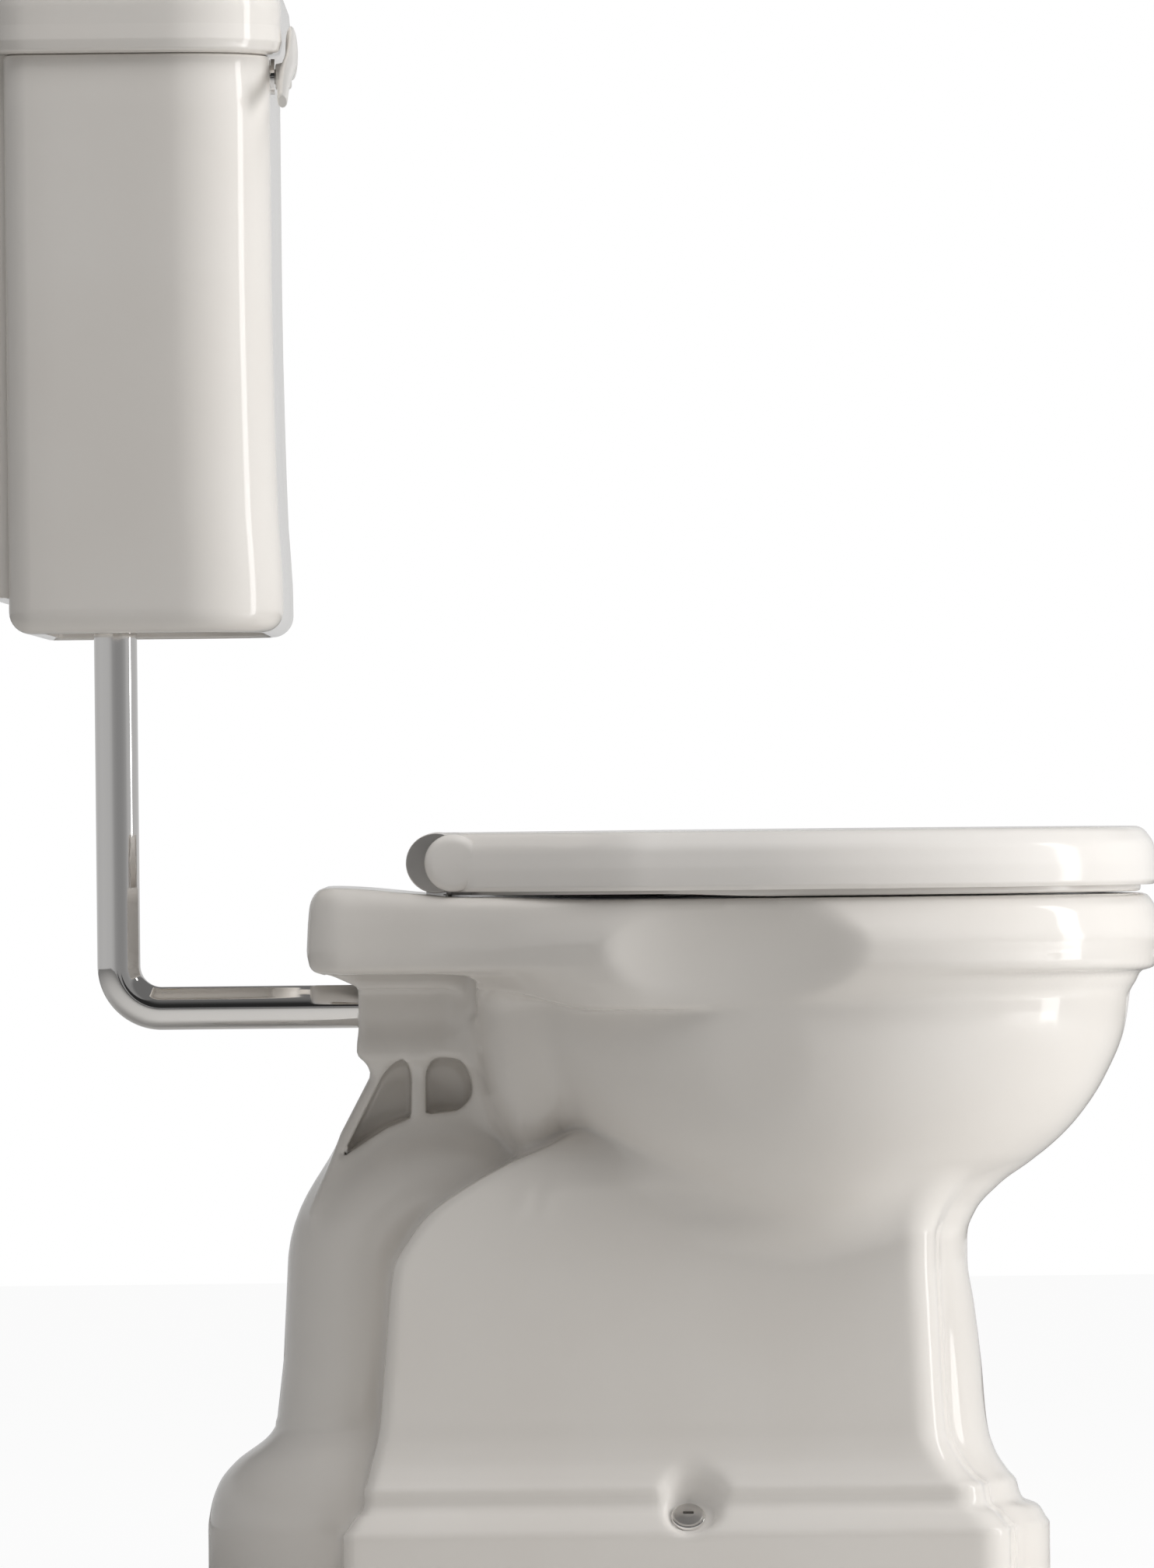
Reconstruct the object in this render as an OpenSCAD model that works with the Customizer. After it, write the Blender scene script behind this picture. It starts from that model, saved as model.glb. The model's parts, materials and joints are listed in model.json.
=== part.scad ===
/* [Whole] */
// Distance from the wall face to the front of the rim
overall_d = 704; // [700:1:708]

/* [Pan] */
// Height of the flat rim above the floor
rim_z = 413; // [408:1:418]
// Full width of the rim at its widest
rim_w = 360; // [350:2:364]
// Full width of the hinge shelf behind the rim
shelf_w = 230; // [222:2:236]
// Length of the pan from the shelf's rear edge to the rim's front
pan_len = 515; // [510:1:520]
// Width of the well and trapway bore
trap_bore = 68; // [60:1:70]
// Diameter of the soil outlet bore in the foot
outlet_d = 92; // [86:1:96]
// Height of the flush pipe's axis above the floor
inlet_z = 347; // [345:1:349]
// Distance between the seat bolts
seat_pitch = 155; // [151:1:159]
// Distance of the floor screws forward of the frame's origin
screw_x = 62; // [56:1:68]

/* [Flush pipe] */
// Outside diameter of the chromed flush pipe
pipe_d = 26; // [24:0.5:26]
// Radius of the flush pipe's bend, on its centre line
pipe_bend = 26; // [24:1:30]
// Distance of the pipe's upright leg behind the frame's origin
pipe_x = 278; // [276:1:280]

/* [Cistern] */
// Full width of the cistern body
cistern_w = 450; // [440:2:456]
// Height of the cistern's lower edge above the floor
cistern_z = 572; // [570:1:574]
// Height of the line where the lid meets the cistern
lid_line_z = 915; // [912:1:916]
// Height of the lid above that line
lid_h = 42; // [42:1:44]
// Thickness of the china walls
china = 9; // [8:0.5:10]
// Radius of the cistern's upright front corners
corner_r = 60; // [54:1:64]
// Distance of the flush lever from the middle of the cistern
lever_y = 150; // [146:1:154]
// Height of the flush lever's spindle above the floor
lever_z = 903; // [900:1:904]

/* [Seat] */
// Height of the hinge axis above the floor
hinge_z = 433.5; // [433.5:0.1:433.8]
// Distance of the hinge axis behind the frame's origin
hinge_x = 85; // [84:0.5:86]
// Radius of the lid's rolled rear edge
roll_r = 18; // [17.8:0.1:18]
// Diameter of the hinge pins
pin_d = 8; // [7:0.5:8]
// Thickness of the seat ring
ring_t = 21; // [18:0.5:21]

/* [Hidden] */

eps = 0.02;
run_gap = 0.05;
// Straight edges in plan are crowned by this much
crown = 0.4;
front_x = overall_d / 2;
wall_x = -overall_d / 2;
shelf_x = front_x - pan_len;
rim_hw = rim_w / 2;
shelf_hw = shelf_w / 2;

// Shape helpers
function lerp(a, b, t) = a + (b - a) * t;
function smooth(t) = let (u = max(0, min(1, t))) u * u * (3 - 2 * u);
function mirrored(half) = concat(half, [for (i = [len(half) - 2 : -1 : 1]) [half[i].x, -half[i].y]]);
function at_z(ring, z) = [for (p = ring) [p.x, p.y, z]];
function oval_half(xc, front, rear, half_w, power = 2, steps = 20) =
    [for (k = [0 : steps])
        let (t = 180 * k / steps, c = -cos(t), s = sin(t))
        [xc + (c > 0 ? front : rear) * sign(c) * pow(abs(c), 2 / power), -half_w * pow(s, 2 / power)]];
function oval(xc, front, rear, half_w, power = 2, steps = 20) =
    mirrored(oval_half(xc, front, rear, half_w, power, steps));

// Closed solid through a stack of rings that each start at the rear and run round by the -Y side
module loft(rings) {
    n = len(rings[0]);
    m = len(rings);
    top = (m - 1) * n;
    walls = [for (k = [0 : m - 2], i = [0 : n - 1], part = [0, 1])
        let (a = k * n + i, b = k * n + (i + 1) % n)
        part == 0 ? [a, a + n, b + n] : [a, b + n, b]];
    steps = [for (i = [0 : n / 2 - 1]) [i, i + 1, n - i - 1, (n - i) % n]];
    floor_faces = [for (q = steps, part = [0, 1])
        if (part == 0 ? q[1] != q[2] : q[0] != q[3])
        part == 0 ? [q[0], q[1], q[2]] : [q[0], q[2], q[3]]];
    roof_faces = [for (f = floor_faces) [top + f[0], top + f[2], top + f[1]]];
    polyhedron(points = [for (r = rings) each r], faces = concat(walls, floor_faces, roof_faces));
}

// Pan: the rim and its shelf
flare_x = [-95, 135];
belly_x = [20, 110];
belly_w = 8;
nose_x = 130;
function flare_w(x, rear_w, wide) =
    rear_w + (wide - belly_w - rear_w) * smooth((x - flare_x[0]) / flare_x[1])
    + belly_w * smooth((x - belly_x[0]) / belly_x[1]);
// Half outline of the rim or seat, from the rear round to the nose
function plan_half(rear_x, rear_w, wide, front, corner) =
    concat(
        [[rear_x - crown, 0], [rear_x - 0.75 * crown, -rear_w / 2]],
        [for (t = [0 : 22.5 : 90])
            [rear_x + corner - corner * cos(t), -(rear_w - corner) - corner * sin(t)]],
        [for (k = [1 : 9])
            let (x = lerp(rear_x + corner, nose_x, k / 10))
            [x, -flare_w(x, rear_w, wide)]],
        [for (t = [0 : 7.5 : 90]) [nose_x + (front - nose_x) * sin(t), -wide * cos(t)]]);
// The outline grown by a distance, which counts rear_k times at the rear
function plan_ring(rear_x, rear_w, wide, front, corner, by, rear_k = 1) =
    mirrored(plan_half(rear_x - by * rear_k, rear_w + by * rear_k, wide + by, front + by,
        max(corner + by * rear_k, 1)));
rim_profile = [[347, -24], [352, -16], [360, -11.5], [364, -9.5], [368, -5], [375, -1.5], [390, 0], [404, -1],
    [410, -3], [412.2, -5.5], [rim_z, -9]];
function shelf_rise(x) = 6.4 * smooth((-62 - x) / 88);
function rim_ring(p) =
    [for (q = plan_ring(shelf_x, shelf_hw, rim_hw, front_x, 22, p[1], p[0] < 374 ? 2.2 : 1))
        [q.x, q.y, p[0] + shelf_rise(q.x) * max(p[0] - 400, 0) / (rim_z - 400)]];

// Pan: the bowl outside and inside, as [height, centre, front reach, rear reach, half width]
bowl_out = [[200, 128, 76, 84, 84], [210, 132, 84, 92, 97], [222, 138, 94, 102, 108], [237, 140, 110, 118, 121],
    [255, 140, 139, 140, 133.5], [275, 140, 160, 160, 144], [300, 140, 177, 178, 151.5], [330, 140, 190, 193, 157],
    [353, 140, 194.5, 198, 158]];
bowl_in = [[186, 60, 33, 33, 33], [205, 66, 42, 42, 42], [222, 96, 74, 84, 66], [240, 122, 106, 116, 94],
    [260, 132, 136, 136, 118], [290, 136, 166, 160, 135], [320, 136, 181, 172, 143], [350, 134, 184, 178, 145],
    [369, 130, 180, 174, 137], [374, 125, 168, 168, 122], [407, 125, 168, 168, 122], [411.5, 125, 170, 170, 124],
    [rim_z, 125, 173, 173, 127], [rim_z + 8, 125, 180, 180, 134]];
function bowl_rings(rows) = [for (r = rows) at_z(oval(r[1], r[2], r[3], r[4]), r[0])];

// Pan: the pedestal, as [height, half width, front corner, middle of the bow, rear edge]
pedestal = [[0, 119, 252, 281, -144], [31, 119, 252, 281, -144], [35, 117, 249, 278.5, -142],
    [42, 112, 243, 274, -137], [46, 108, 238, 265, -133], [51, 107, 237, 262.5, -132], [57, 108, 236, 261, -132],
    [63, 105, 229, 256, -130], [75, 100, 220, 248.5, -127], [90, 97.5, 214, 244, -123],
    [130, 96.5, 211.5, 240.5, -119], [165, 95.5, 210, 236.5, -116], [190, 95, 209, 233, -113],
    [208, 95, 209, 233, -103], [222, 95, 211, 236, -92], [238, 95, 216, 249, -70], [252, 92, 220, 262, -45],
    [263, 84, 214, 262, -19]];
bow_hw = 58;
front_arc = 10;
front_r = 16;
rear_r = 6;
function bow_front(row, y) =
    let (u = abs(y) / bow_hw)
    row[2] + front_arc * (1 - pow(y / row[1], 2))
    + (u < 1 ? (row[3] - row[2] - front_arc) * sqrt(1 - u * u) : 0);
function pedestal_half(row) =
    let (w = row[1], rear = row[4], corner_x = bow_front(row, w - front_r) - front_r)
    concat(
        [[rear - crown, 0], [rear - 0.75 * crown, -(w - rear_r) / 2]],
        [for (t = [0 : 45 : 90]) [rear + rear_r - rear_r * cos(t), -(w - rear_r) - rear_r * sin(t)]],
        [for (k = [1 : 3]) [lerp(rear + rear_r, corner_x, k / 4), -w]],
        [for (t = [0 : 22.5 : 90]) [corner_x + front_r * sin(t), -(w - front_r) - front_r * cos(t)]],
        [for (y = [68, bow_hw + 0.5, bow_hw * 0.985, bow_hw * 0.93, bow_hw * 0.8, bow_hw * 0.6, bow_hw * 0.35, 0])
            [bow_front(row, y), -y]]);
hollow_hw = 82;
hollow_rear = -70;
hollow_wall = 14;
hollow_rows = [[-1, 0], [150, 0], [175, -6], [188, -22]];
function hollow_front(z) = lookup(z, [for (r = pedestal) [r[0], r[2]]]) - hollow_wall;

// Pan: the trapway's centre line, as [x, z, turn, inner radius, outer half width]
trap_r = trap_bore / 2;
trap_wall = 11;
crest = [-84, 187];
crest_r = 49;
dip = [12.5, 165];
dip_r = 47.5;
well_x = dip[0] + dip_r;
outlet_x = -145;
outlet_len = 82;
trap_path = concat(
    [[-143, outlet_len - 6, 0], [-136, 130, 0]],
    [for (t = [180 : -20 : 0]) [crest[0] + crest_r * cos(t), crest[1] + crest_r * sin(t), t - 180]],
    [for (t = [180 : -20 : 0]) [dip[0] + dip_r * cos(t), dip[1] - dip_r * sin(t), -t]],
    [[well_x, 200, 0], [well_x, 260, 0]]);
// A ring of the trapway, square to the centre line, which climbs from the foot over the crest to the well
function trap_ring(s, rx, ry, n = 24) =
    [for (k = [0 : n - 1])
        let (t = 360 * k / n, u = -rx * cos(t))
        [s[0] + u * cos(s[2]), -ry * sin(t), s[1] + u * sin(s[2])]];
foot_rings = [[91, -135, 55, 60], [73, -146, 64, 70], [60, -150.5, 70, 77], [46, -152.5, 73, 81],
    [32, -153.5, 74, 83], [0, -153.5, 74, 83]];

// Frame of the inlet block, web and pockets, in x and z
inlet_face_x = -133;
inlet_block = [[inlet_face_x, 368], [inlet_face_x, 318], [-126, 312], [-58, 312], [-58, 368]];
inlet_hw = 42;
cone_r = 22;
cone_lip = 8;
spot_r = 11;
web =[[-126, 320], [-126, 302], [-144.5, 271], [-163, 223.5], [-150, 200], [-60, 240], [-50, 320]];
web_hw = 37;
web_core = 8;
pocket_rear = [[-112.5, 318], [-101.5, 318], [-103, 281], [-117, 276], [-145, 256]];
cheek = [[262, -27, 5, 58], [276, -29, 17, 67], [300, -33, 27, 75], [330, -36, 31, 81], [364, -37, 33, 85]];

// Floor screw: its axis leans out and up at this angle
screw_tilt = 45;
screw_seat = [screw_x, -106, 40.5];

module on_screw_axis() {
    translate(screw_seat)
        rotate([screw_tilt, 0, 0])
            children();
}

module both_sides() {
    children();
    mirror([0, 1, 0])
        children();
}

// Upright plate drawn in x and z and given a half thickness in y
module plate_xz(points, half_w) {
    translate([0, half_w, 0])
        rotate([90, 0, 0])
            linear_extrude(2 * half_w)
                polygon(points);
}

module x_rod(x0, x1, y, z, r) {
    translate([x0, y, z])
        rotate([0, 90, 0])
            cylinder(h = x1 - x0, r = r, $fn = 64);
}

module y_rod(x, y0, y1, z, r) {
    translate([x, y1, z])
        rotate([90, 0, 0])
            cylinder(h = y1 - y0, r = r, $fn = 64);
}

module z_rod(x, y, z0, z1, r) {
    translate([x, y, z0])
        cylinder(h = z1 - z0, r = r, $fn = 64);
}

module trap_shell() {
    loft([for (s = trap_path) trap_ring(s, trap_r + trap_wall, s[0] < -35 ? 56 : trap_r + trap_wall)]);
}

module trap_passage() {
    loft([for (s = trap_path) trap_ring(s, trap_r, trap_r)]);
}

module pedestal_hollow() {
    difference() {
        loft([for (h = hollow_rows)
            let (f = hollow_front(max(h[0], 0)) + h[1], w = hollow_hw + h[1], c = (f + hollow_rear - h[1]) / 2)
            at_z(oval(c, f - c, f - c, w, 5, 12), h[0])]);
        trap_shell();
    }
}

module web_pockets() {
    both_sides()
        translate([0, -web_hw - 6, 0]) {
            translate([0, web_hw + 6 - web_core, 0])
                rotate([90, 0, 0])
                    linear_extrude(web_hw)
                        polygon(pocket_rear);
            translate([0, web_hw + 6 - web_core, 0])
                rotate([90, 0, 0])
                    linear_extrude(web_hw)
                        union() {
                            translate([-93, 284])
                                square([18, 34]);
                            translate([-75, 296])
                                circle(r = 12, $fn = 32);
                            translate([-75, 306])
                                circle(r = 12, $fn = 32);
                            translate([-75, 296])
                                square([12, 10]);
                        }
        }
}

module pan() {
    color("ivory")
        difference() {
            union() {
                loft([for (p = rim_profile) rim_ring(p)]);
                loft(bowl_rings(bowl_out));
                loft([for (r = pedestal) at_z(mirrored(pedestal_half(r)), r[0])]);
                trap_shell();
                loft([for (k = [len(foot_rings) - 1 : -1 : 0])
                    let (f = foot_rings[k])
                    at_z(oval(f[1], f[2], f[2], f[3], 2, 12), f[0])]);
                plate_xz(inlet_block, inlet_hw);
                difference() {
                    plate_xz(web, web_hw);
                    web_pockets();
                }
                loft([for (c = cheek) at_z(oval(c[1], c[2], c[2], c[3], 2.4, 10), c[0])]);
            }
            loft(bowl_rings(bowl_in));
            trap_passage();
            pedestal_hollow();
            z_rod(outlet_x, 0, -1, outlet_len, outlet_d / 2);
            x_rod(inlet_face_x - 32, inlet_face_x + eps, 0, inlet_z, pipe_d / 2 + 1);
            x_rod(inlet_face_x, -98, 0, inlet_z, cone_r);
            x_rod(-99, -30, 0, inlet_z, 14);
            both_sides() {
                z_rod(-hinge_x, -seat_pitch / 2, 380, rim_z + 5, 6);
                z_rod(-hinge_x, -seat_pitch / 2, rim_z, rim_z + 5, spot_r);
                translate([-150, -102, 340])
                    cube([88, 56, 52]);
                on_screw_axis() {
                    cylinder(h = 60, r1 = 12.5, r2 = 46, $fn = 64);
                    translate([0, 0, -70])
                        cylinder(h = 71, r = 5, $fn = 64);
                }
            }
        }
}

module floor_screws() {
    color("silver")
        both_sides()
            on_screw_axis() {
                translate([0, 0, -52])
                    cylinder(h = 54, r = 3.5, $fn = 48);
                difference() {
                    intersection() {
                        translate([0, 0, 2])
                            cylinder(h = 5, r = 9, $fn = 64);
                        translate([0, 0, -6])
                            sphere(r = 12.9, $fn = 64);
                    }
                    translate([-10, -1, 4.8])
                        cube([20, 2, 5]);
                }
            }
}

module screw_sleeves() {
    color("white")
        both_sides()
            on_screw_axis()
                difference() {
                    union() {
                        cylinder(h = 2, r = 10.5, $fn = 64);
                        translate([0, 0, -26])
                            cylinder(h = 27, r = 4.9, $fn = 64);
                    }
                    translate([0, 0, -27])
                        cylinder(h = 30, r = 3.6, $fn = 48);
                }
}

module flush_cone() {
    color("dimgray")
        translate([inlet_face_x, 0, inlet_z])
            rotate([0, 90, 0])
                difference() {
                    union() {
                        cylinder(h = cone_lip, r = cone_r, $fn = 64);
                        translate([0, 0, cone_lip])
                            cylinder(h = 25, r1 = cone_r, r2 = cone_r - 2, $fn = 64);
                    }
                    translate([0, 0, -1])
                        cylinder(h = 40, r = pipe_d / 2, $fn = 64);
                }
}

pipe_top = 604;
pipe_end_x = -104;
module pipe_run(r, spare) {
    z_rod(-pipe_x, 0, inlet_z + pipe_bend, pipe_top + spare, r);
    x_rod(-pipe_x + pipe_bend, pipe_end_x + spare, 0, inlet_z, r);
    translate([-pipe_x + pipe_bend, 0, inlet_z + pipe_bend])
        rotate([90, 0, 0])
            rotate([0, 0, 180])
                rotate_extrude(angle = 90, $fn = 96)
                    translate([pipe_bend, 0])
                        circle(r = r, $fn = 64);
}

module flush_pipe() {
    color("silver")
        difference() {
            pipe_run(pipe_d / 2, 0);
            pipe_run(pipe_d / 2 - 1.2, 1);
        }
}

floor_z = 622;
floor_t = 10;
tail_z = 580;
tail_r = 20;
module hex_nut(x, y, z0, z1, across, bore_r) {
    translate([x, y, z0])
        difference() {
            cylinder(h = z1 - z0, r = across / 2 / cos(30), $fn = 6);
            translate([0, 0, -1])
                cylinder(h = z1 - z0 + 2, r = bore_r, $fn = 64);
        }
}

module pipe_nut() {
    color("silver")
        difference() {
            hex_nut(-pipe_x, 0, 575, 600, 50, pipe_d / 2 + 0.5);
            z_rod(-pipe_x, 0, 579, 601, tail_r + run_gap);
        }
}

module pipe_washer() {
    color("black")
        difference() {
            z_rod(-pipe_x, 0, 579, 580, tail_r - 0.5);
            z_rod(-pipe_x, 0, 578, 581, pipe_d / 2 + 0.2);
        }
}

// Cistern plan: straight rear, round front corners, grown or shrunk as a whole
body_rear = -335;
body_rear_r = 14;
function cistern_half(front, by) =
    let (rear = body_rear - by, half_w = cistern_w / 2 + by, r = max(corner_r + by, 4),
        rr = max(body_rear_r + by, 2), front = front + by)
    concat(
        [[rear - crown, 0], [rear - 0.75 * crown, -half_w / 2]],
        [for (t = [0 : 30 : 90]) [rear + rr - rr * cos(t), -(half_w - rr) - rr * sin(t)]],
        [for (k = [1 : 2]) [lerp(rear + rr, front - r, k / 3), -half_w]],
        [for (t = [0 : 11.25 : 90]) [front - r + r * sin(t), -(half_w - r) - r * cos(t)]],
        [[front + 0.75 * crown, -half_w * 0.4], [front + crown, 0]]);
body_front = [[cistern_z, -173], [600, -173], [640, -175.5], [700, -177], [780, -178], [lid_line_z, -178]];
foot_r = 13;
skirt_t = 16;
function body_ring(z, by) = at_z(mirrored(cistern_half(lookup(z, body_front), by)), z);
function lid_ring(z, by) = at_z(mirrored(cistern_half(-178, by)), lid_line_z + z);
lid_profile = [[0, 1], [3, 4.5], [8, 7.2], [11, 7.2], [16, 6.2], [22, 6.4], [28, 6.8], [37.5, 6], [40.5, 4.8],
    [lid_h, 2]];

module cistern_shell() {
    loft(concat(
        [for (t = [0 : 22.5 : 67.5]) body_ring(cistern_z + foot_r * (1 - cos(t)), -foot_r * (1 - sin(t)))],
        [for (z = [cistern_z + foot_r, 600, 640, 700, 780, lid_line_z]) body_ring(z, 0)]));
    translate([wall_x, -208, 594])
        cube([body_rear + 20 - wall_x, 416, lid_line_z - 594]);
}

module cistern() {
    color("ivory")
        difference() {
            cistern_shell();
            loft([for (z = [floor_z + floor_t, 700, 780, lid_line_z + 1]) body_ring(z, -china)]);
            loft([for (z = [cistern_z - 1, floor_z]) body_ring(z, -skirt_t)]);
            translate([wall_x + china, -199, floor_z + floor_t])
                cube([30, 398, 300]);
            z_rod(-pipe_x, 0, floor_z - 1, floor_z + floor_t + 1, tail_r + 1);
            z_rod(-265, 165, floor_z - 1, floor_z + floor_t + 1, 11);
            x_rod(-200, -160, -lever_y, lever_z, 7);
            both_sides()
                x_rod(wall_x - 1, wall_x + china + 1, -130, 870, 5);
        }
}

module cistern_lid() {
    color("ivory")
        difference() {
            union() {
                loft([for (p = lid_profile) lid_ring(p[0], p[1])]);
                translate([wall_x + 1, -210, lid_line_z])
                    cube([40, 420, 20]);
                loft([for (z = [-2, 1]) lid_ring(z, -china - 2)]);
            }
            loft([lid_ring(-3, -china - 8), lid_ring(10, -china - 8), lid_ring(30, -23)]);
        }
}

// Siphon: the down leg stands on the pipe's axis, the bell beside it
bell_y = -75;
bell_r = 38;
bell_z = [650, 800];
duct_z = [800, 842];
module duct(r, z0, z1) {
    translate([-pipe_x, 0, z0])
        linear_extrude(z1 - z0)
            union() {
                circle(r = r, $fn = 64);
                translate([0, bell_y])
                    circle(r = r, $fn = 64);
                translate([-r, bell_y])
                    square([2 * r, -bell_y]);
            }
}

module siphon_body() {
    color("white")
        difference() {
            union() {
                z_rod(-pipe_x, 0, tail_z, floor_z + floor_t + 1, tail_r);
                z_rod(-pipe_x, 0, floor_z + floor_t + 3, floor_z + floor_t + 8, 32);
                z_rod(-pipe_x, 0, floor_z + floor_t, duct_z[0] + 1, 17);
                z_rod(-pipe_x, bell_y, bell_z[0], bell_z[1], bell_r);
                duct(22, duct_z[0] - 3, duct_z[1]);
            }
            z_rod(-pipe_x, 0, tail_z - 1, 606, pipe_d / 2 + run_gap);
            z_rod(-pipe_x, 0, 605, duct_z[0] + 2, 12.5);
            z_rod(-pipe_x, bell_y, bell_z[0] - 1, bell_z[1] - 3, bell_r - 3);
            z_rod(-pipe_x, bell_y, bell_z[1] - 4, bell_z[1] + 2, 18);
            duct(19, duct_z[0], duct_z[1] - 3);
            z_rod(-pipe_x, bell_y, duct_z[1] - 4, duct_z[1] + 1, 4.05);
        }
}

module siphon_washer() {
    color("black")
        difference() {
            z_rod(-pipe_x, 0, floor_z + floor_t, floor_z + floor_t + 3, 30);
            z_rod(-pipe_x, 0, floor_z + floor_t - 1, floor_z + floor_t + 4, tail_r + run_gap);
        }
}

module siphon_nut() {
    color("white")
        hex_nut(-pipe_x, 0, 610, floor_z, 54, tail_r + run_gap);
}

plate_z = 662;
rod_top = 858;
module siphon_rod() {
    color("gold")
        z_rod(-pipe_x, bell_y, plate_z - 4, rod_top, 4);
}

module siphon_plate() {
    color("white")
        difference() {
            z_rod(-pipe_x, bell_y, plate_z, plate_z + 4, bell_r - 4.5);
            z_rod(-pipe_x, bell_y, plate_z - 1, plate_z + 5, 4);
            for (t = [0 : 60 : 300])
                translate([-pipe_x, bell_y, plate_z - 1])
                    rotate([0, 0, t])
                        translate([19, 0, 0])
                            cylinder(h = 6, r = 7, $fn = 32);
        }
}

module siphon_flap() {
    color("black")
        difference() {
            z_rod(-pipe_x, bell_y, plate_z + 4, plate_z + 5, bell_r - 5.5);
            z_rod(-pipe_x, bell_y, plate_z + 3, plate_z + 6, 4);
        }
}

// Lever: the inner arm slopes down at rest and lifts the link's collar
arm_slope = 18;
arm_t = 6;
collar_z = lever_z - (lever_y + bell_y) * tan(arm_slope) + arm_t / 2 / cos(arm_slope) + 2.2;
module lift_link() {
    color("gold") {
        difference() {
            z_rod(-pipe_x, bell_y, rod_top - 8, rod_top + 4, 6);
            z_rod(-pipe_x, bell_y, rod_top - 9, rod_top, 4);
        }
        z_rod(-pipe_x, bell_y, rod_top + 4, collar_z + 3, 2);
        z_rod(-pipe_x, bell_y, collar_z, collar_z + 3, 6);
    }
}

module lever_arm() {
    color("gold")
        translate([-pipe_x, -lever_y, lever_z])
            rotate([-arm_slope, 0, 0])
                difference() {
                    union() {
                        x_rod(-7, 7, 0, 0, 9);
                        translate([-7, 0, -arm_t / 2])
                            cube([14, 92, arm_t]);
                    }
                    x_rod(-8, 8, 0, 0, 4.5);
                    translate([-3.5, 69, -arm_t])
                        cube([7, 17, 2 * arm_t]);
                }
}

module lever_spindle() {
    color("silver")
        x_rod(-pipe_x - 12, -167, -lever_y, lever_z, 4.5);
}

module lever_bush() {
    color("silver")
        difference() {
            union() {
                x_rod(-177.8, -175.5, -lever_y, lever_z, 10.6);
                x_rod(-203, -177, -lever_y, lever_z, 6.9);
            }
            x_rod(-204, -170, -lever_y, lever_z, 4.5 + run_gap);
        }
}

module lever_nut() {
    color("silver")
        translate([-193, -lever_y, lever_z])
            rotate([0, 90, 0])
                difference() {
                    rotate([0, 0, 30])
                        cylinder(h = 6, r = 9.6, $fn = 6);
                    translate([0, 0, -1])
                        cylinder(h = 8, r = 6.95, $fn = 48);
                }
}

// Handle: a thin dome stands in front of the lid's edge, above the spindle, and a bar runs from it to the side
handle_droop = 17;
handle_len = 58;
handle_x = -170.5;
dome_rise = 14;
dome_r = 16;
dome_x = -168.9;
dome_t = 7;
dome_ball = 24;
module lever_handle() {
    color("silver")
        translate([0, -lever_y, lever_z])
            difference() {
                union() {
                    x_rod(-174.5, -165, 0, 0, 6.5);
                    translate([dome_x, 0, dome_rise])
                        rotate([0, 90, 0])
                            intersection() {
                                cylinder(h = dome_t, r = dome_r, $fn = 64);
                                translate([0, 0, dome_t - dome_ball])
                                    sphere(r = dome_ball, $fn = 96);
                            }
                    rotate([handle_droop, 0, 0])
                        translate([handle_x, 0, 0])
                            rotate([90, 0, 0])
                                cylinder(h = handle_len, r1 = 3, r2 = 2.6, $fn = 48);
                }
                x_rod(-176, -167, 0, 0, 4.5);
            }
}

// Fill valve: a riser with the piston under the float arm's finger
valve = [-265, 165];
inlet_r = 10.4;
pivot = [146, 858];
piston_y = 160;
float_drop = 35;
float_reach = 75;
float_r = 32;
finger_rise = 20;
module fill_valve() {
    color("white")
        difference() {
            union() {
                z_rod(valve.x, valve.y, tail_z, 613, inlet_r);
                z_rod(valve.x, valve.y, 612, floor_z + floor_t + 1, inlet_r - 0.2);
                z_rod(valve.x, valve.y, floor_z + floor_t + 2, floor_z + floor_t + 6, 17);
                z_rod(valve.x, valve.y, floor_z + floor_t, 819, 9);
                z_rod(valve.x, valve.y, 818, 850, 16);
                for (side = [-1, 1])
                    translate([valve.x + side * 10.5 - 2, pivot[0] - 6, 836])
                        cube([4, 24, 28]);
            }
            z_rod(valve.x, valve.y, tail_z - 1, 824, 5);
            z_rod(valve.x, piston_y, 826, 851, 3.5 + run_gap);
            x_rod(valve.x - 16, valve.x + 16, pivot[0], pivot[1], 2 + run_gap);
        }
}

module valve_washer() {
    color("black")
        difference() {
            z_rod(valve.x, valve.y, floor_z + floor_t, floor_z + floor_t + 2, 16);
            z_rod(valve.x, valve.y, floor_z + floor_t - 1, floor_z + floor_t + 3, inlet_r);
        }
}

module valve_nut() {
    color("gold")
        hex_nut(valve.x, valve.y, 613, floor_z, 28, inlet_r - 0.15);
}

module valve_piston() {
    color("gold")
        z_rod(valve.x, piston_y, 838, 859.2, 3.5);
}

module float_arm() {
    color("gold")
        translate([valve.x, pivot[0], pivot[1]])
            difference() {
                union() {
                    x_rod(-7, 7, 0, 0, 5);
                    rotate([float_drop, 0, 0])
                        y_rod(0, -float_reach + float_r - 4, 0, 0, 3);
                    rotate([finger_rise, 0, 0])
                        translate([-3, 0, -2])
                            cube([6, 17, 4]);
                }
                x_rod(-8, 8, 0, 0, 2);
            }
}

module float_pin() {
    color("silver")
        x_rod(valve.x - 14, valve.x + 14, pivot[0], pivot[1], 2);
}

module float() {
    color("white")
        translate([valve.x, pivot[0], pivot[1]])
            rotate([float_drop, 0, 0])
                translate([0, -float_reach, 0])
                    difference() {
                        sphere(r = float_r, $fn = 96);
                        sphere(r = float_r - 2, $fn = 96);
                        y_rod(0, float_r - 4, float_r + 1, 0, 3);
                    }
}

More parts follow.
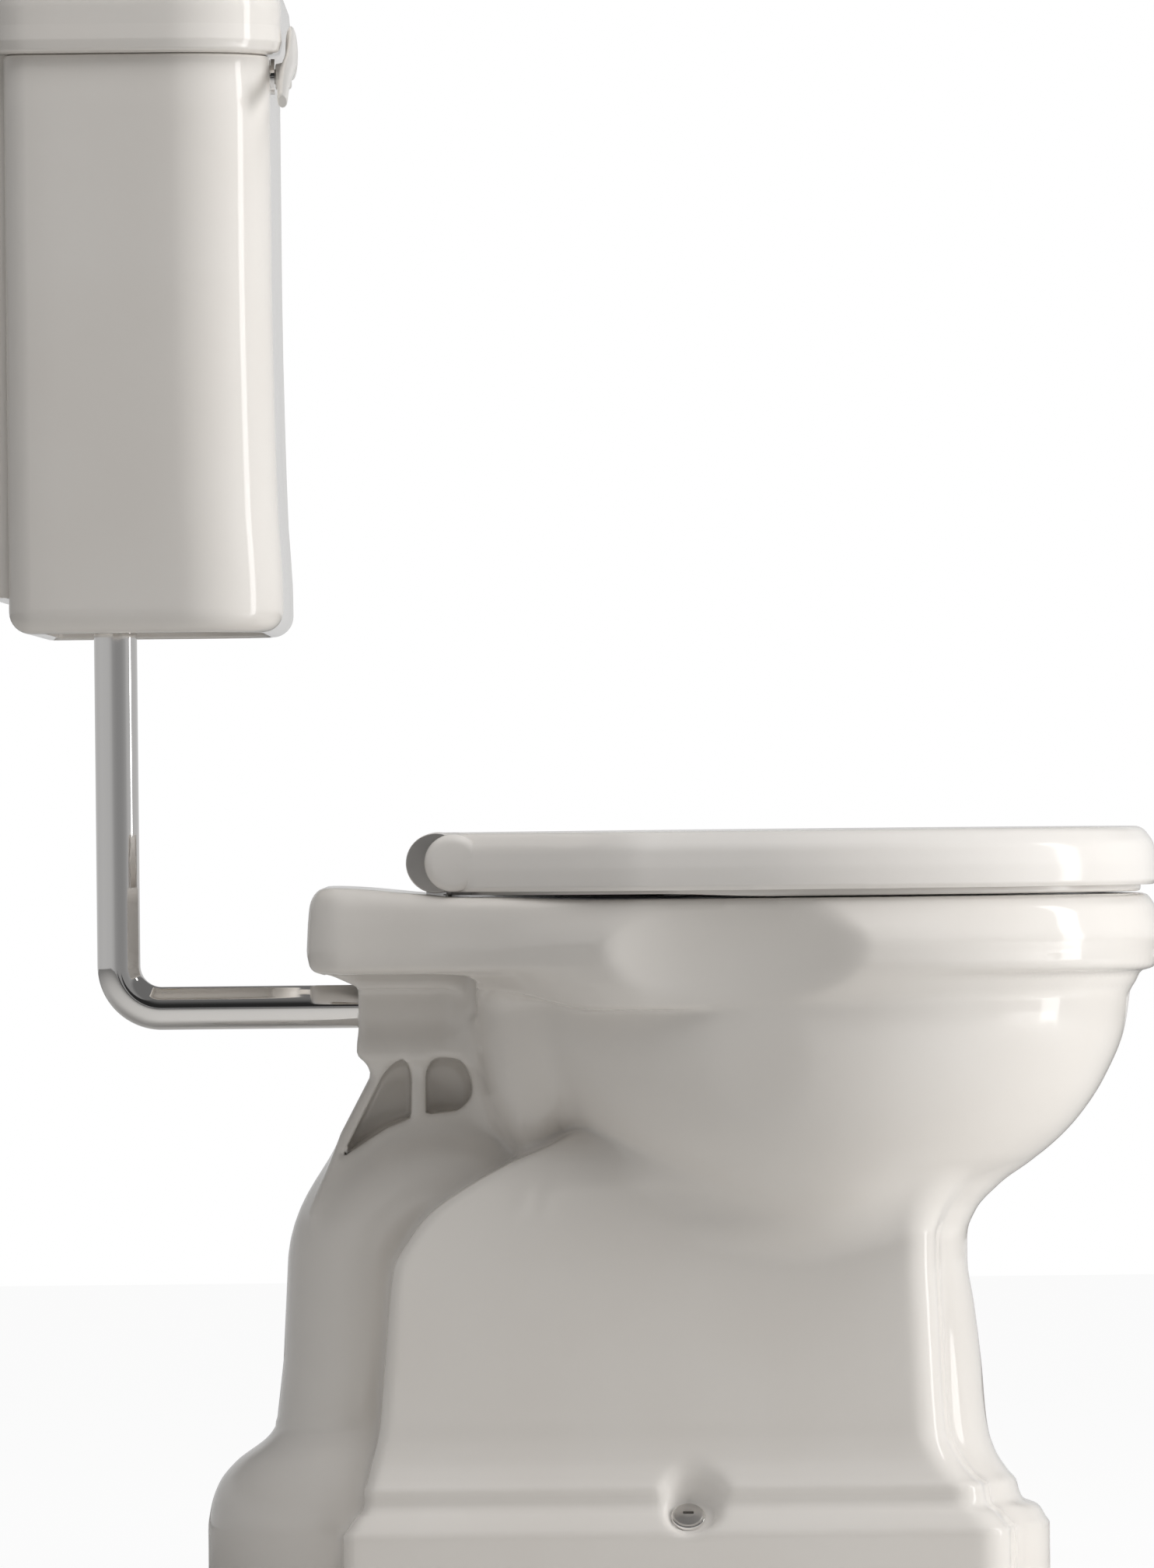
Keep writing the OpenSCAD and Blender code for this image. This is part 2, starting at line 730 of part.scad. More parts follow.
// Seat: hinge parts stand on the shelf, the ring and lid turn about one axis
slot_y = [49, 87];
roll_hw = 105;
post_w = 14;
seat_bottom = rim_z + 2.5;
ring_top = seat_bottom + ring_t;
lid_under = 442.5;
lid_top = hinge_z + roll_r;
seat_gap = 3;
lid_wall = 8;
function lid_outline(by) = plan_ring(-hinge_x, roll_hw, rim_hw - 2, front_x - 2, 12, by);
lid_profile_z = [[seat_bottom + 0.5, -2.5], [seat_bottom + 3.5, 0], [lid_top - 9, 0], [lid_top - 4.5, -1.2],
    [lid_top - 1.2, -5], [lid_top, -10]];

module hinge_posts() {
    color("silver")
        both_sides()
            translate([-hinge_x, -seat_pitch / 2, 0])
                difference() {
                    union() {
                        z_rod(0, 0, rim_z, rim_z + 1.8, 10);
                        z_rod(0, 0, 376, rim_z + 1, 4);
                        translate([-6, -post_w / 2, rim_z + 1])
                            cube([12, post_w, hinge_z - rim_z - 1]);
                        y_rod(0, -post_w / 2, post_w / 2, hinge_z, 8);
                    }
                    y_rod(0, -post_w, post_w, hinge_z, pin_d / 2 + run_gap);
                }
}

module hinge_washers() {
    color("dimgray")
        both_sides()
            difference() {
                z_rod(-hinge_x, -seat_pitch / 2, 389.5, 392, 12);
                z_rod(-hinge_x, -seat_pitch / 2, 389, 393, 4 + run_gap);
            }
}

module hinge_nuts() {
    color("silver")
        both_sides()
            translate([-hinge_x, -seat_pitch / 2, 379.5])
                difference() {
                    union() {
                        cylinder(h = 10, r = 7, $fn = 48);
                        translate([-15, -1.5, 0])
                            cube([30, 3, 8]);
                    }
                    translate([0, 0, -1])
                        cylinder(h = 12, r = 4 + run_gap, $fn = 48);
                }
}

module hinge_pins() {
    color("silver")
        both_sides()
            y_rod(-hinge_x, -100, -40, hinge_z, pin_d / 2);
}

module seat_ring() {
    color("white")
        difference() {
            union() {
                difference() {
                    loft([for (p = [[0, -2], [3, 0], [ring_t - 6, 0], [ring_t - 2, -2], [ring_t, -6]])
                        at_z(plan_ring(-60, 92, rim_hw - 13, front_x - 13, 10, p[1]), seat_bottom + p[0])]);
                    loft([for (p = [[-1, 0], [3, -1], [ring_t - 8, 0], [ring_t - 2, 5], [ring_t + 1, 11]])
                        at_z(oval(125, 140 + p[1], 140 + p[1], 108 + p[1]), seat_bottom + p[0])]);
                }
                both_sides() {
                    y_rod(-hinge_x, -68, -50, hinge_z, 8);
                    translate([-hinge_x, -68, seat_bottom + 4])
                        cube([32, 18, hinge_z - seat_bottom - 1]);
                }
            }
            both_sides()
                y_rod(-hinge_x, -102, -30, hinge_z, pin_d / 2);
        }
}

buffer_spots = [[60, 142], [250, 112]];
module ring_buffers() {
    color("white")
        both_sides()
            for (p = buffer_spots)
                z_rod(p.x, -p.y, rim_z, seat_bottom, 9);
}

module seat_lid() {
    color("white")
        difference() {
            union() {
                loft([for (p = lid_profile_z) at_z(lid_outline(p[1]), p[0])]);
                y_rod(-hinge_x, -roll_hw, roll_hw, hinge_z, roll_r);
                plate_xz([[244, lid_top - 1], [288, lid_top + 8.6], [291, lid_top + 9], [294, lid_top + 8],
                    [295, lid_top - 1]], 28);
            }
            difference() {
                loft([for (z = [seat_bottom - 5, lid_under]) at_z(lid_outline(-lid_wall), z)]);
                y_rod(-hinge_x, -roll_hw, roll_hw, hinge_z, roll_r);
            }
            both_sides() {
                translate([-hinge_x - roll_r - 1, -slot_y[1], hinge_z - roll_r - 1])
                    cube([roll_r + 14, slot_y[1] - slot_y[0], 2 * roll_r + 2]);
                translate([-hinge_x, -slot_y[1], hinge_z - roll_r - 1])
                    cube([30, slot_y[1] - slot_y[0], lid_under - hinge_z + roll_r + 1]);
                y_rod(-hinge_x, -100.5, -39.5, hinge_z, pin_d / 2 + run_gap);
            }
        }
}

module lid_buffers() {
    color("white")
        both_sides()
            for (p = buffer_spots)
                z_rod(p.x, -p.y, ring_top, lid_under, 7);
}

pan();
floor_screws();
screw_sleeves();
flush_cone();
flush_pipe();
pipe_nut();
pipe_washer();
cistern();
cistern_lid();
siphon_body();
siphon_washer();
siphon_nut();
siphon_rod();
siphon_plate();
siphon_flap();
lift_link();
fill_valve();
valve_washer();
valve_nut();
valve_piston();
float_arm();
float_pin();
float();
lever_handle();
lever_spindle();
lever_arm();
lever_bush();
lever_nut();
hinge_posts();
hinge_washers();
hinge_nuts();
hinge_pins();
seat_ring();
ring_buffers();
seat_lid();
lid_buffers();
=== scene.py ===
"""Looks of a low level toilet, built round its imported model. Lengths are in mm unless said otherwise."""
import json
import math
import bpy
import bmesh
import numpy as np
from mathutils import Matrix, Vector


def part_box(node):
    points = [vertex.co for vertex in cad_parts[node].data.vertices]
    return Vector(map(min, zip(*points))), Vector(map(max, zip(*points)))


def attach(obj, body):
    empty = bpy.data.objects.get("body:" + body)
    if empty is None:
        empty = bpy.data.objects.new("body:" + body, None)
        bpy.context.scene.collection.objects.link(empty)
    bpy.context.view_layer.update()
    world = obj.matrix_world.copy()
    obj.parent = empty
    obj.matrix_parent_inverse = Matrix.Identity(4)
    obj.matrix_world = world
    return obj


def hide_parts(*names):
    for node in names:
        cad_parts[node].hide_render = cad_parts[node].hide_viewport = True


MM = 0.001
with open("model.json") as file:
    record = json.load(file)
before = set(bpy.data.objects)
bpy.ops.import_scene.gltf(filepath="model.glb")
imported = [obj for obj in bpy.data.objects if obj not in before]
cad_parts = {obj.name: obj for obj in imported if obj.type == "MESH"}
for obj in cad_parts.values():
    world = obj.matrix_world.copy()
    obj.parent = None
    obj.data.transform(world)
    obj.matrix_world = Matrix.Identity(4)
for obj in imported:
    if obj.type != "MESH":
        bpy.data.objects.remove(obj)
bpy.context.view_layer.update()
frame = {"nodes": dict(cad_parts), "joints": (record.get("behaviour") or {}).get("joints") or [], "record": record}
nodes = frame["nodes"]


def box_mm(node):
    """A node's lowest and highest corner in millimetres"""
    low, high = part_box(node)
    return np.array(low) / MM, np.array(high) / MM


# Sizes taken from the frame
PAN_LOW, PAN_HIGH = box_mm("pan")
TANK_LOW, TANK_HIGH = box_mm("cistern")
FRONT_X = float(PAN_HIGH[0])
WALL_X = float(TANK_LOW[0])
LID_LINE = float(TANK_HIGH[2])
TANK_BOTTOM = float(TANK_LOW[2])
HINGE = np.array(frame["joints"][0]["pos_m"]) / MM

# Camera: square on to the side, far off, tilted by the photo's slight roll
IMAGE = (1484, 2017)
CAMERA_AWAY = 10.0
CAMERA_Z = 0.48
MM_PER_PIXEL = 0.47
ROLL = 0.6


def add_object(name, data):
    obj = bpy.data.objects.new(name, data)
    bpy.context.scene.collection.objects.link(obj)
    return obj


def add_camera():
    data = bpy.data.cameras.new("camera")
    data.sensor_fit = "HORIZONTAL"
    data.sensor_width = 36
    width = IMAGE[0] * MM_PER_PIXEL * MM
    data.lens = data.sensor_width * CAMERA_AWAY / width
    data.clip_end = 60
    camera = add_object("camera", data)
    camera.matrix_world = (Matrix.Translation((0, -CAMERA_AWAY, CAMERA_Z))
                           @ Matrix.Rotation(math.radians(90), 4, "X")
                           @ Matrix.Rotation(math.radians(-ROLL), 4, "Z"))
    bpy.context.scene.camera = camera
    bpy.context.scene.view_settings.view_transform = "Standard"


# Curves, outlines and distances


def smooth(t):
    t = np.clip(t, 0, 1)
    return t * t * (3 - 2 * t)


def lerp(a, b, t):
    return a + (b - a) * t


def curve(rows):
    """Smooth curve that keeps to rows of (position, value, value ...), as a function that gives each value"""
    rows = np.array(rows, float)
    x, y = rows[:, 0], rows[:, 1:]
    step = np.diff(x)[:, None]
    slope = np.diff(y, axis=0) / step
    tangent = np.empty_like(y)
    tangent[0], tangent[-1] = slope[0], slope[-1]
    a, b = slope[:-1], slope[1:]
    same = a * b > 0
    mean = 3 * (step[1:] + step[:-1]) / ((2 * step[1:] + step[:-1]) / np.where(same, a, 1)
                                         + (step[1:] + 2 * step[:-1]) / np.where(same, b, 1))
    tangent[1:-1] = np.where(same, mean, 0)

    def at(position):
        position = np.clip(position, x[0], x[-1])
        i = np.clip(np.searchsorted(x, position, "right") - 1, 0, len(step) - 1)
        h = step[i, 0]
        t = (position - x[i]) / h
        t2, t3 = t * t, t * t * t
        return [(2 * t3 - 3 * t2 + 1) * y[i, c] + (t3 - 2 * t2 + t) * h * tangent[i, c]
                + (3 * t2 - 2 * t3) * y[i + 1, c] + (t3 - t2) * h * tangent[i + 1, c]
                for c in range(y.shape[1])]
    return at


def arc(x, y, reach_x, reach_y, start, end, steps):
    """Points on an oval about x and y, from one angle in degrees to another"""
    t = np.radians(np.linspace(start, end, steps))
    return np.stack([x + reach_x * np.cos(t), y + reach_y * np.sin(t)], axis=1)


def rounded(points, steps=8):
    """Open line through points of (x, y, radius), each corner an arc of its radius"""
    out = []
    for i, (x, y, radius) in enumerate(points):
        here = np.array((x, y), float)
        if i in (0, len(points) - 1) or radius == 0:
            out.append(here)
            continue
        back = np.array(points[i - 1][:2], float) - here
        ahead = np.array(points[i + 1][:2], float) - here
        back /= np.linalg.norm(back)
        ahead /= np.linalg.norm(ahead)
        half = math.acos(np.clip(back @ ahead, -1, 1)) / 2
        reach = radius / math.tan(half)
        centre = here + (back + ahead) / np.linalg.norm(back + ahead) * radius / math.sin(half)
        start, end = here + back * reach - centre, here + ahead * reach - centre
        turn = math.pi - 2 * half
        side = math.copysign(1, start[0] * end[1] - start[1] * end[0])
        for k in range(steps + 1):
            angle = side * turn * k / steps
            c, s = math.cos(angle), math.sin(angle)
            out.append(centre + (c * start[0] - s * start[1], s * start[0] + c * start[1]))
    return np.array(out)


def line_distance(line, closed=False):
    """Distance from points to a line, as a function of two coordinates that may be grids"""
    line = np.array(line, float)
    if closed:
        line = np.vstack([line, line[:1]])
    start, step = line[:-1], np.diff(line, axis=0)
    keep = np.linalg.norm(step, axis=1) > 1e-9
    start, step = start[keep], step[keep]
    length2 = (step ** 2).sum(1)

    def at(u, v):
        u, v = np.broadcast_arrays(u, v)
        shape = u.shape
        u, v = u.reshape(-1), v.reshape(-1)
        out = np.empty(len(u))
        for first in range(0, len(u), 8192):
            du = u[first:first + 8192, None] - start[:, 0]
            dv = v[first:first + 8192, None] - start[:, 1]
            t = np.clip((du * step[:, 0] + dv * step[:, 1]) / length2, 0, 1)
            du -= t * step[:, 0]
            dv -= t * step[:, 1]
            out[first:first + 8192] = np.sqrt((du * du + dv * dv).min(1))
        return out.reshape(shape)
    return at


def area_distance(outline):
    """Signed distance to a closed outline, negative inside"""
    outline = np.array(outline, float)
    distance = line_distance(outline, closed=True)
    ahead = np.roll(outline, -1, axis=0)

    def at(u, v):
        inside = np.zeros(np.broadcast(u, v).shape, bool)
        for (u0, v0), (u1, v1) in zip(outline, ahead):
            if v0 != v1:
                inside ^= ((v0 > v) != (v1 > v)) & (u < u0 + (v - v0) * (u1 - u0) / (v1 - v0))
        return np.where(inside, -1, 1) * distance(u, v)
    return at


def half_distance(half):
    """Signed distance to an outline given by the half on the side of positive y, from rear to front"""
    distance = line_distance(half)

    def at(x, y):
        y = abs(y)
        width = np.interp(x, half[:, 0], half[:, 1])
        inside = (x > half[0, 0]) & (x < half[-1, 0]) & (y < width)
        return np.where(inside, -1, 1) * distance(x, y)
    return at


def join(a, b, blend):
    """Union of two solids given as distances, with a fillet"""
    h = np.clip(blend - abs(a - b), 0, None) / blend
    return np.minimum(a, b) - h * h * blend / 4


def meet(a, b, blend):
    return -join(-a, -b, blend)


def cut(a, b, blend):
    return -join(-a, b, blend)


def rounded_box(x, y, half_x, half_y, radius):
    """Signed distance to a rectangle with round corners about the origin"""
    u, v = abs(x) - half_x + radius, abs(y) - half_y + radius
    return np.hypot(np.maximum(u, 0), np.maximum(v, 0)) + np.minimum(np.maximum(u, v), 0) - radius


def oval_stack(rows, power=2):
    """Distance to a stack of ovals given by rows of (height, centre, front reach, rear reach, half width)"""
    at = curve(rows)
    low, high = rows[0][0], rows[-1][0]

    def distance(x, y, z):
        centre, front, rear, wide = at(z)
        above = at(np.clip(z + 1, low, high))
        lean = above[1] - front + above[0] - centre
        along = x - centre
        reach = np.where(along > 0, front, rear)
        u, v = abs(along) / reach, abs(y) / wide
        q = (u ** power + v ** power) ** (1 / power) + 1e-9
        slope = np.hypot((u / q) ** (power - 1) / reach, (v / q) ** (power - 1) / wide)
        return (q - 1) / slope / np.sqrt(1 + lean ** 2)
    return distance


# Skin: a closed mesh of quads over the zero level of a distance


def sample(values, places):
    """Values of a grid at places in cells, by linear interpolation"""
    top = np.array(values.shape) - 2
    cell = np.clip(np.floor(places).astype(int), 0, top)
    t = places - cell
    total = 0
    for corner in np.ndindex(2, 2, 2):
        weight = np.prod(np.where(corner, t, 1 - t), axis=1)
        total = total + weight * values[tuple((cell + corner).T)]
    return total


def surface_net(values):
    """Vertices in cells and quads over the zero level of a grid of distances"""
    inside = values < 0
    shape = np.array(values.shape) - 1
    count = sum(inside[tuple(slice(c, c + s) for c, s in zip(corner, shape))].astype(np.int8)
                for corner in np.ndindex(2, 2, 2))
    active = (count > 0) & (count < 8)
    index = np.full(shape, -1)
    index[active] = np.arange(active.sum())
    cells = np.argwhere(active)
    total, hits = np.zeros((len(cells), 3)), np.zeros(len(cells))
    for axis in range(3):
        step = np.eye(3, dtype=int)[axis]
        for corner in np.ndindex(2, 2, 2):
            if corner[axis]:
                continue
            a = values[tuple((cells + corner).T)]
            b = values[tuple((cells + corner + step).T)]
            crossed = (a < 0) != (b < 0)
            t = a[crossed] / (a[crossed] - b[crossed])
            total[crossed] += corner + t[:, None] * step
            hits[crossed] += 1
    places = cells + total / hits[:, None]
    quads = []
    for axis in range(3):
        u, v = (axis + 1) % 3, (axis + 2) % 3
        first = [slice(1, -1)] * 3
        first[axis] = slice(0, -1)
        second = list(first)
        second[axis] = slice(1, None)
        a, b = inside[tuple(first)], inside[tuple(second)]
        for entering in (False, True):
            edges = np.argwhere((a != b) & (b == entering))
            offset = np.ones(3, int)
            offset[axis] = 0
            edges = edges + offset
            ring = []
            for du, dv in ((0, 0), (-1, 0), (-1, -1), (0, -1)):
                move = np.zeros(3, int)
                move[u], move[v] = du, dv
                ring.append(index[tuple((edges + move).T)])
            quads.append(np.stack(ring if entering else ring[::-1], axis=1))
    return places, np.vstack(quads)


def mesh_object(name, verts, faces, sharp=None):
    """Object of a mesh in millimetres, smooth except across edges sharper than an angle in degrees"""
    mesh = bpy.data.meshes.new(name)
    if isinstance(faces, np.ndarray):
        verts = np.asarray(verts, np.float32) * MM
        mesh.vertices.add(len(verts))
        mesh.vertices.foreach_set("co", verts.ravel())
        mesh.loops.add(faces.size)
        mesh.loops.foreach_set("vertex_index", faces.ravel().astype(np.int32))
        mesh.polygons.add(len(faces))
        mesh.polygons.foreach_set("loop_start", np.arange(0, faces.size, faces.shape[1], dtype=np.int32))
        mesh.update(calc_edges=True)
        mesh.validate()
    else:
        mesh.from_pydata([tuple(float(c) * MM for c in v) for v in verts], [], faces)
    mesh.shade_smooth()
    if sharp is not None:
        mesh.set_sharp_from_angle(angle=math.radians(sharp))
    return add_object(name, mesh)


def skin(name, distance, low, high, cell, rounds=3):
    """Mesh of a solid that is alike on both sides of the plane y = 0"""
    low, high = np.array(low, float) - 2.3 * cell, np.array(high, float) + 2.3 * cell
    half = int(math.ceil(high[1] / cell)) + 1
    x = np.arange(low[0], high[0], cell)
    y = (np.arange(half) + 0.5) * cell
    z = np.arange(low[2], high[2], cell)
    values = distance(x[:, None, None], y[None, :, None], z[None, None, :])
    values = np.concatenate([values[:, ::-1], values], axis=1)
    places, quads = surface_net(values)
    origin = np.array((x[0], -y[-1], z[0]))
    slopes = np.gradient(values)
    for k in range(rounds):
        verts = origin + places * cell
        off = distance(verts[:, 0], verts[:, 1], verts[:, 2]) / cell
        normal = np.stack([sample(s, places) for s in slopes], axis=1) / cell
        size = (normal ** 2).sum(1)
        move = -normal * (off / np.maximum(size, 0.2))[:, None]
        length = np.linalg.norm(move, axis=1)
        places = places + move * np.minimum(1, 0.5 / np.maximum(length, 1e-9))[:, None]
        if k < rounds - 1:
            places = relaxed(places, quads)
    return mesh_object(name, origin + places * cell, quads)


def relaxed(places, quads):
    """Each vertex moved halfway to the middle of its neighbours"""
    total, hits = np.zeros_like(places), np.zeros(len(places))
    for k in range(4):
        a, b = quads[:, k], quads[:, (k + 1) % 4]
        for here, there in ((a, b), (b, a)):
            for c in range(3):
                total[:, c] += np.bincount(here, places[there, c], len(places))
            hits += np.bincount(here, minlength=len(places))
    return 0.5 * places + 0.5 * total / hits[:, None]


# Pan: its plan, sections and solids
RIM_Z = 413.0
RIM_HALF = 180.0
PAN_TOP = 419
SHELF_X, SHELF_HALF, SHELF_CORNER = -163, 115.0, 22
# The shelf's rise above the rim: how much, from which height, and the place and length of its slope in x
RISE, RISE_BASE, RISE_FROM, RISE_OVER = 6.4, 400, -62, 88
NOSE_X = 130.0
INLET_X = -133.0
INLET_Z = 347.0
PIPE_D, PIPE_WALL, PIPE_BEND_R = 26.0, 1.2, 26.0


def flare_width(x, rear, wide):
    belly = 8
    return rear + (wide - belly - rear) * smooth((x + 95) / 135) + belly * smooth((x - 20) / 110)


def plan_half(rear_x, rear_half, wide, front, corner, steps=90):
    """Half outline of the rim, seat or lid on the side of positive y, from rear to front"""
    rear = arc(rear_x + corner, rear_half - corner, -corner, corner, 0, 90, 12)
    x = np.linspace(rear_x + corner, NOSE_X, steps)[1:]
    side = np.stack([x, flare_width(x, rear_half, wide)], axis=1)
    nose = arc(0, NOSE_X, wide, front - NOSE_X, 0, 90, steps)[1:, ::-1]
    return np.vstack([[(rear_x, 0)], rear, side, nose])


# Sections of the rim at the front, at the sides and round the shelf, as distance out from the plan and height
RIM_SECTION = rounded([(-250, 353.5, 0), (-18.8, 353.5, 1.2), (-15.8, 357, 3), (-12.5, 363.8, 2),
                       (-2, 366.5, 7), (-1.5, 376, 20), (0, 386, 14), (-3.5, 404, 14), (-8, 410, 4),
                       (-12, 411, 2), (-40, 411.5, 0), (-60, 413, 0), (-250, 413, 0)])
SIDE_SECTION = rounded([(-250, 345, 0), (-24, 345, 8), (-10, 361, 8), (-3.6, 372, 8), (0, 384, 10),
                        (-1.2, 392, 10), (-7.5, 409, 4), (-11, 411, 2), (-40, 411.5, 0), (-60, 413, 0),
                        (-250, 413, 0)])
SHELF_SECTION = rounded([(-250, 358, 0), (-32, 358, 4), (-15, 365.8, 10), (-2.2, 369.5, 7), (0, 380, 10),
                         (-1, 399, 30), (-3, 413, 10.5), (-250, 413, 0)])
BOWL_OUT = [(195, 128, 72, 80, 80), (200, 128, 76, 84, 84), (210, 132, 84, 92, 97), (222, 138, 94, 102, 108),
            (237, 140, 110, 118, 121), (255, 140, 139, 140, 133.5), (275, 140, 160, 160, 144),
            (300, 140, 177, 178, 151.5), (330, 140, 189.5, 193, 157), (356, 140, 193.5, 198, 158.5)]
BOWL_IN = [(186, 60, 33, 33, 33), (205, 66, 42, 42, 42), (222, 96, 74, 84, 66), (240, 122, 106, 116, 94),
           (260, 132, 136, 136, 118), (290, 136, 166, 160, 135), (320, 136, 181, 172, 143),
           (350, 134, 184, 178, 145), (368, 130, 180, 174, 137), (374, 125, 168, 168, 122),
           (407, 125, 168, 168, 122), (411.5, 125, 170, 170, 124), (413, 125, 173, 173, 127),
           (421, 125, 180, 180, 134)]
# Pedestal: height, half width, front corner, middle of the bow, rear edge
PEDESTAL = [(-8, 119, 252, 281, -144.5), (31, 119, 252, 281, -144.5), (35, 117, 249, 278.5, -142),
            (42, 112, 243, 274, -137), (46, 108.5, 238, 265, -133), (51, 107, 237, 262.5, -132),
            (57, 108, 236, 261, -132), (63, 105, 229, 256, -130), (75, 100, 220, 248.5, -127),
            (90, 97.5, 214, 244, -123), (130, 96.5, 211.5, 240.5, -119), (165, 95.5, 210, 236.5, -116),
            (190, 95, 209, 233, -113), (208, 95, 209, 233, -103), (222, 95, 211, 236, -92),
            (238, 95, 216, 249, -70), (252, 92, 220, 262, -45), (263, 84, 214, 262, -19),
            (269, 74, 208, 252, -5), (275, 58, 195, 235, 12)]
PEDESTAL_TOP = 272
BOW_HALF, BOW_BACK = 58, 60
FRONT_ARC = 10
FRONT_R = 16
REAR_R = 6
FOOT = [(-8, -153.5, 74, 74, 83), (32, -153.5, 74, 74, 83), (46, -152.5, 73, 73, 81),
        (60, -150.5, 70, 70, 77), (73, -146, 64, 64, 70), (84, -139, 56, 56, 61), (94, -134, 47, 47, 52)]
FOOT_TOP = 92
CHEEK = [(236, -27, 3, 3, 40), (250, -27, 9, 9, 52), (262, -27, 17, 17, 61), (276, -29, 24, 24, 69),
         (300, -33, 30, 30, 76), (330, -36, 32, 32, 81), (368, -37, 33, 33, 85)]
CHEEK_LOW, CHEEK_HIGH = 236, 372
BOWL_FOOT, BOWL_TOP = 196, 357
BLOCK_FRONT, BLOCK_HALF, BLOCK_Z, BLOCK_HALF_Z = -40, 40, 343, 25
TRAP_R, TRAP_WALL, TRAP_SWELL = 34, 11, 56
WELL_FLOOR, WELL_TOP = 187, 222
CREST, CREST_R = (-84, 187), 49
DIP, DIP_R = (12.5, 165), 47.5
OUTLET_X, OUTLET_LEN, OUTLET_R = -145, 82, 46
HOLLOW_REAR, HOLLOW_HALF, HOLLOW_TOP, HOLLOW_WALL, HOLLOW_CORNER = -70, 82, 186, 14, 30
CONE_R, CONE_FRONT, FLUSH_R, FLUSH_FRONT = 22, -98, 14, -30
BOLT_Y, BOLT_R, BOLT_SEAT_R, BOLT_LOW = 77.5, 6, 11, 380
NUT_POCKET, NUT_POCKET_LOW, NUT_POCKET_TOP = (-106, 74, 44, 28, 8), 340, 392
WEB_HALF, WEB_CORE = 37, 12
WEB = [(-126, 322), (-126, 306), (-144.5, 271), (-163, 223.5), (-150, 200), (-60, 240), (-50, 322)]
POCKET_REAR = [(-110.5, 322), (-101, 322), (-102, 280), (-116.5, 274), (-144.5, 255.5)]
POCKET_FRONT = [(-93, 323, 4), (-66, 323, 6), (-61, 305, 12), (-62, 293, 10), (-74, 284, 10), (-93, 282, 3)]
SCREW_X, SCREW_Y, SCREW_Z, SCREW_HOLE_R = 62, -106, 40.5, 5
SCOOP_R, SCOOP_FLARE, SCOOP_SKEW = 12.7, 0.68, 1.18


def trap_line():
    """The trapway's centre line in x and z, from the foot over the crest and through the dip to the well"""
    crest = arc(*CREST, CREST_R, CREST_R, 180, 0, 31)
    dip = arc(*DIP, DIP_R, -DIP_R, 180, 0, 31)
    well = DIP[0] + DIP_R
    return np.vstack([[(-143, OUTLET_LEN - 10), (-136, 130)], crest, dip, [(well, 200), (well, 250)]])


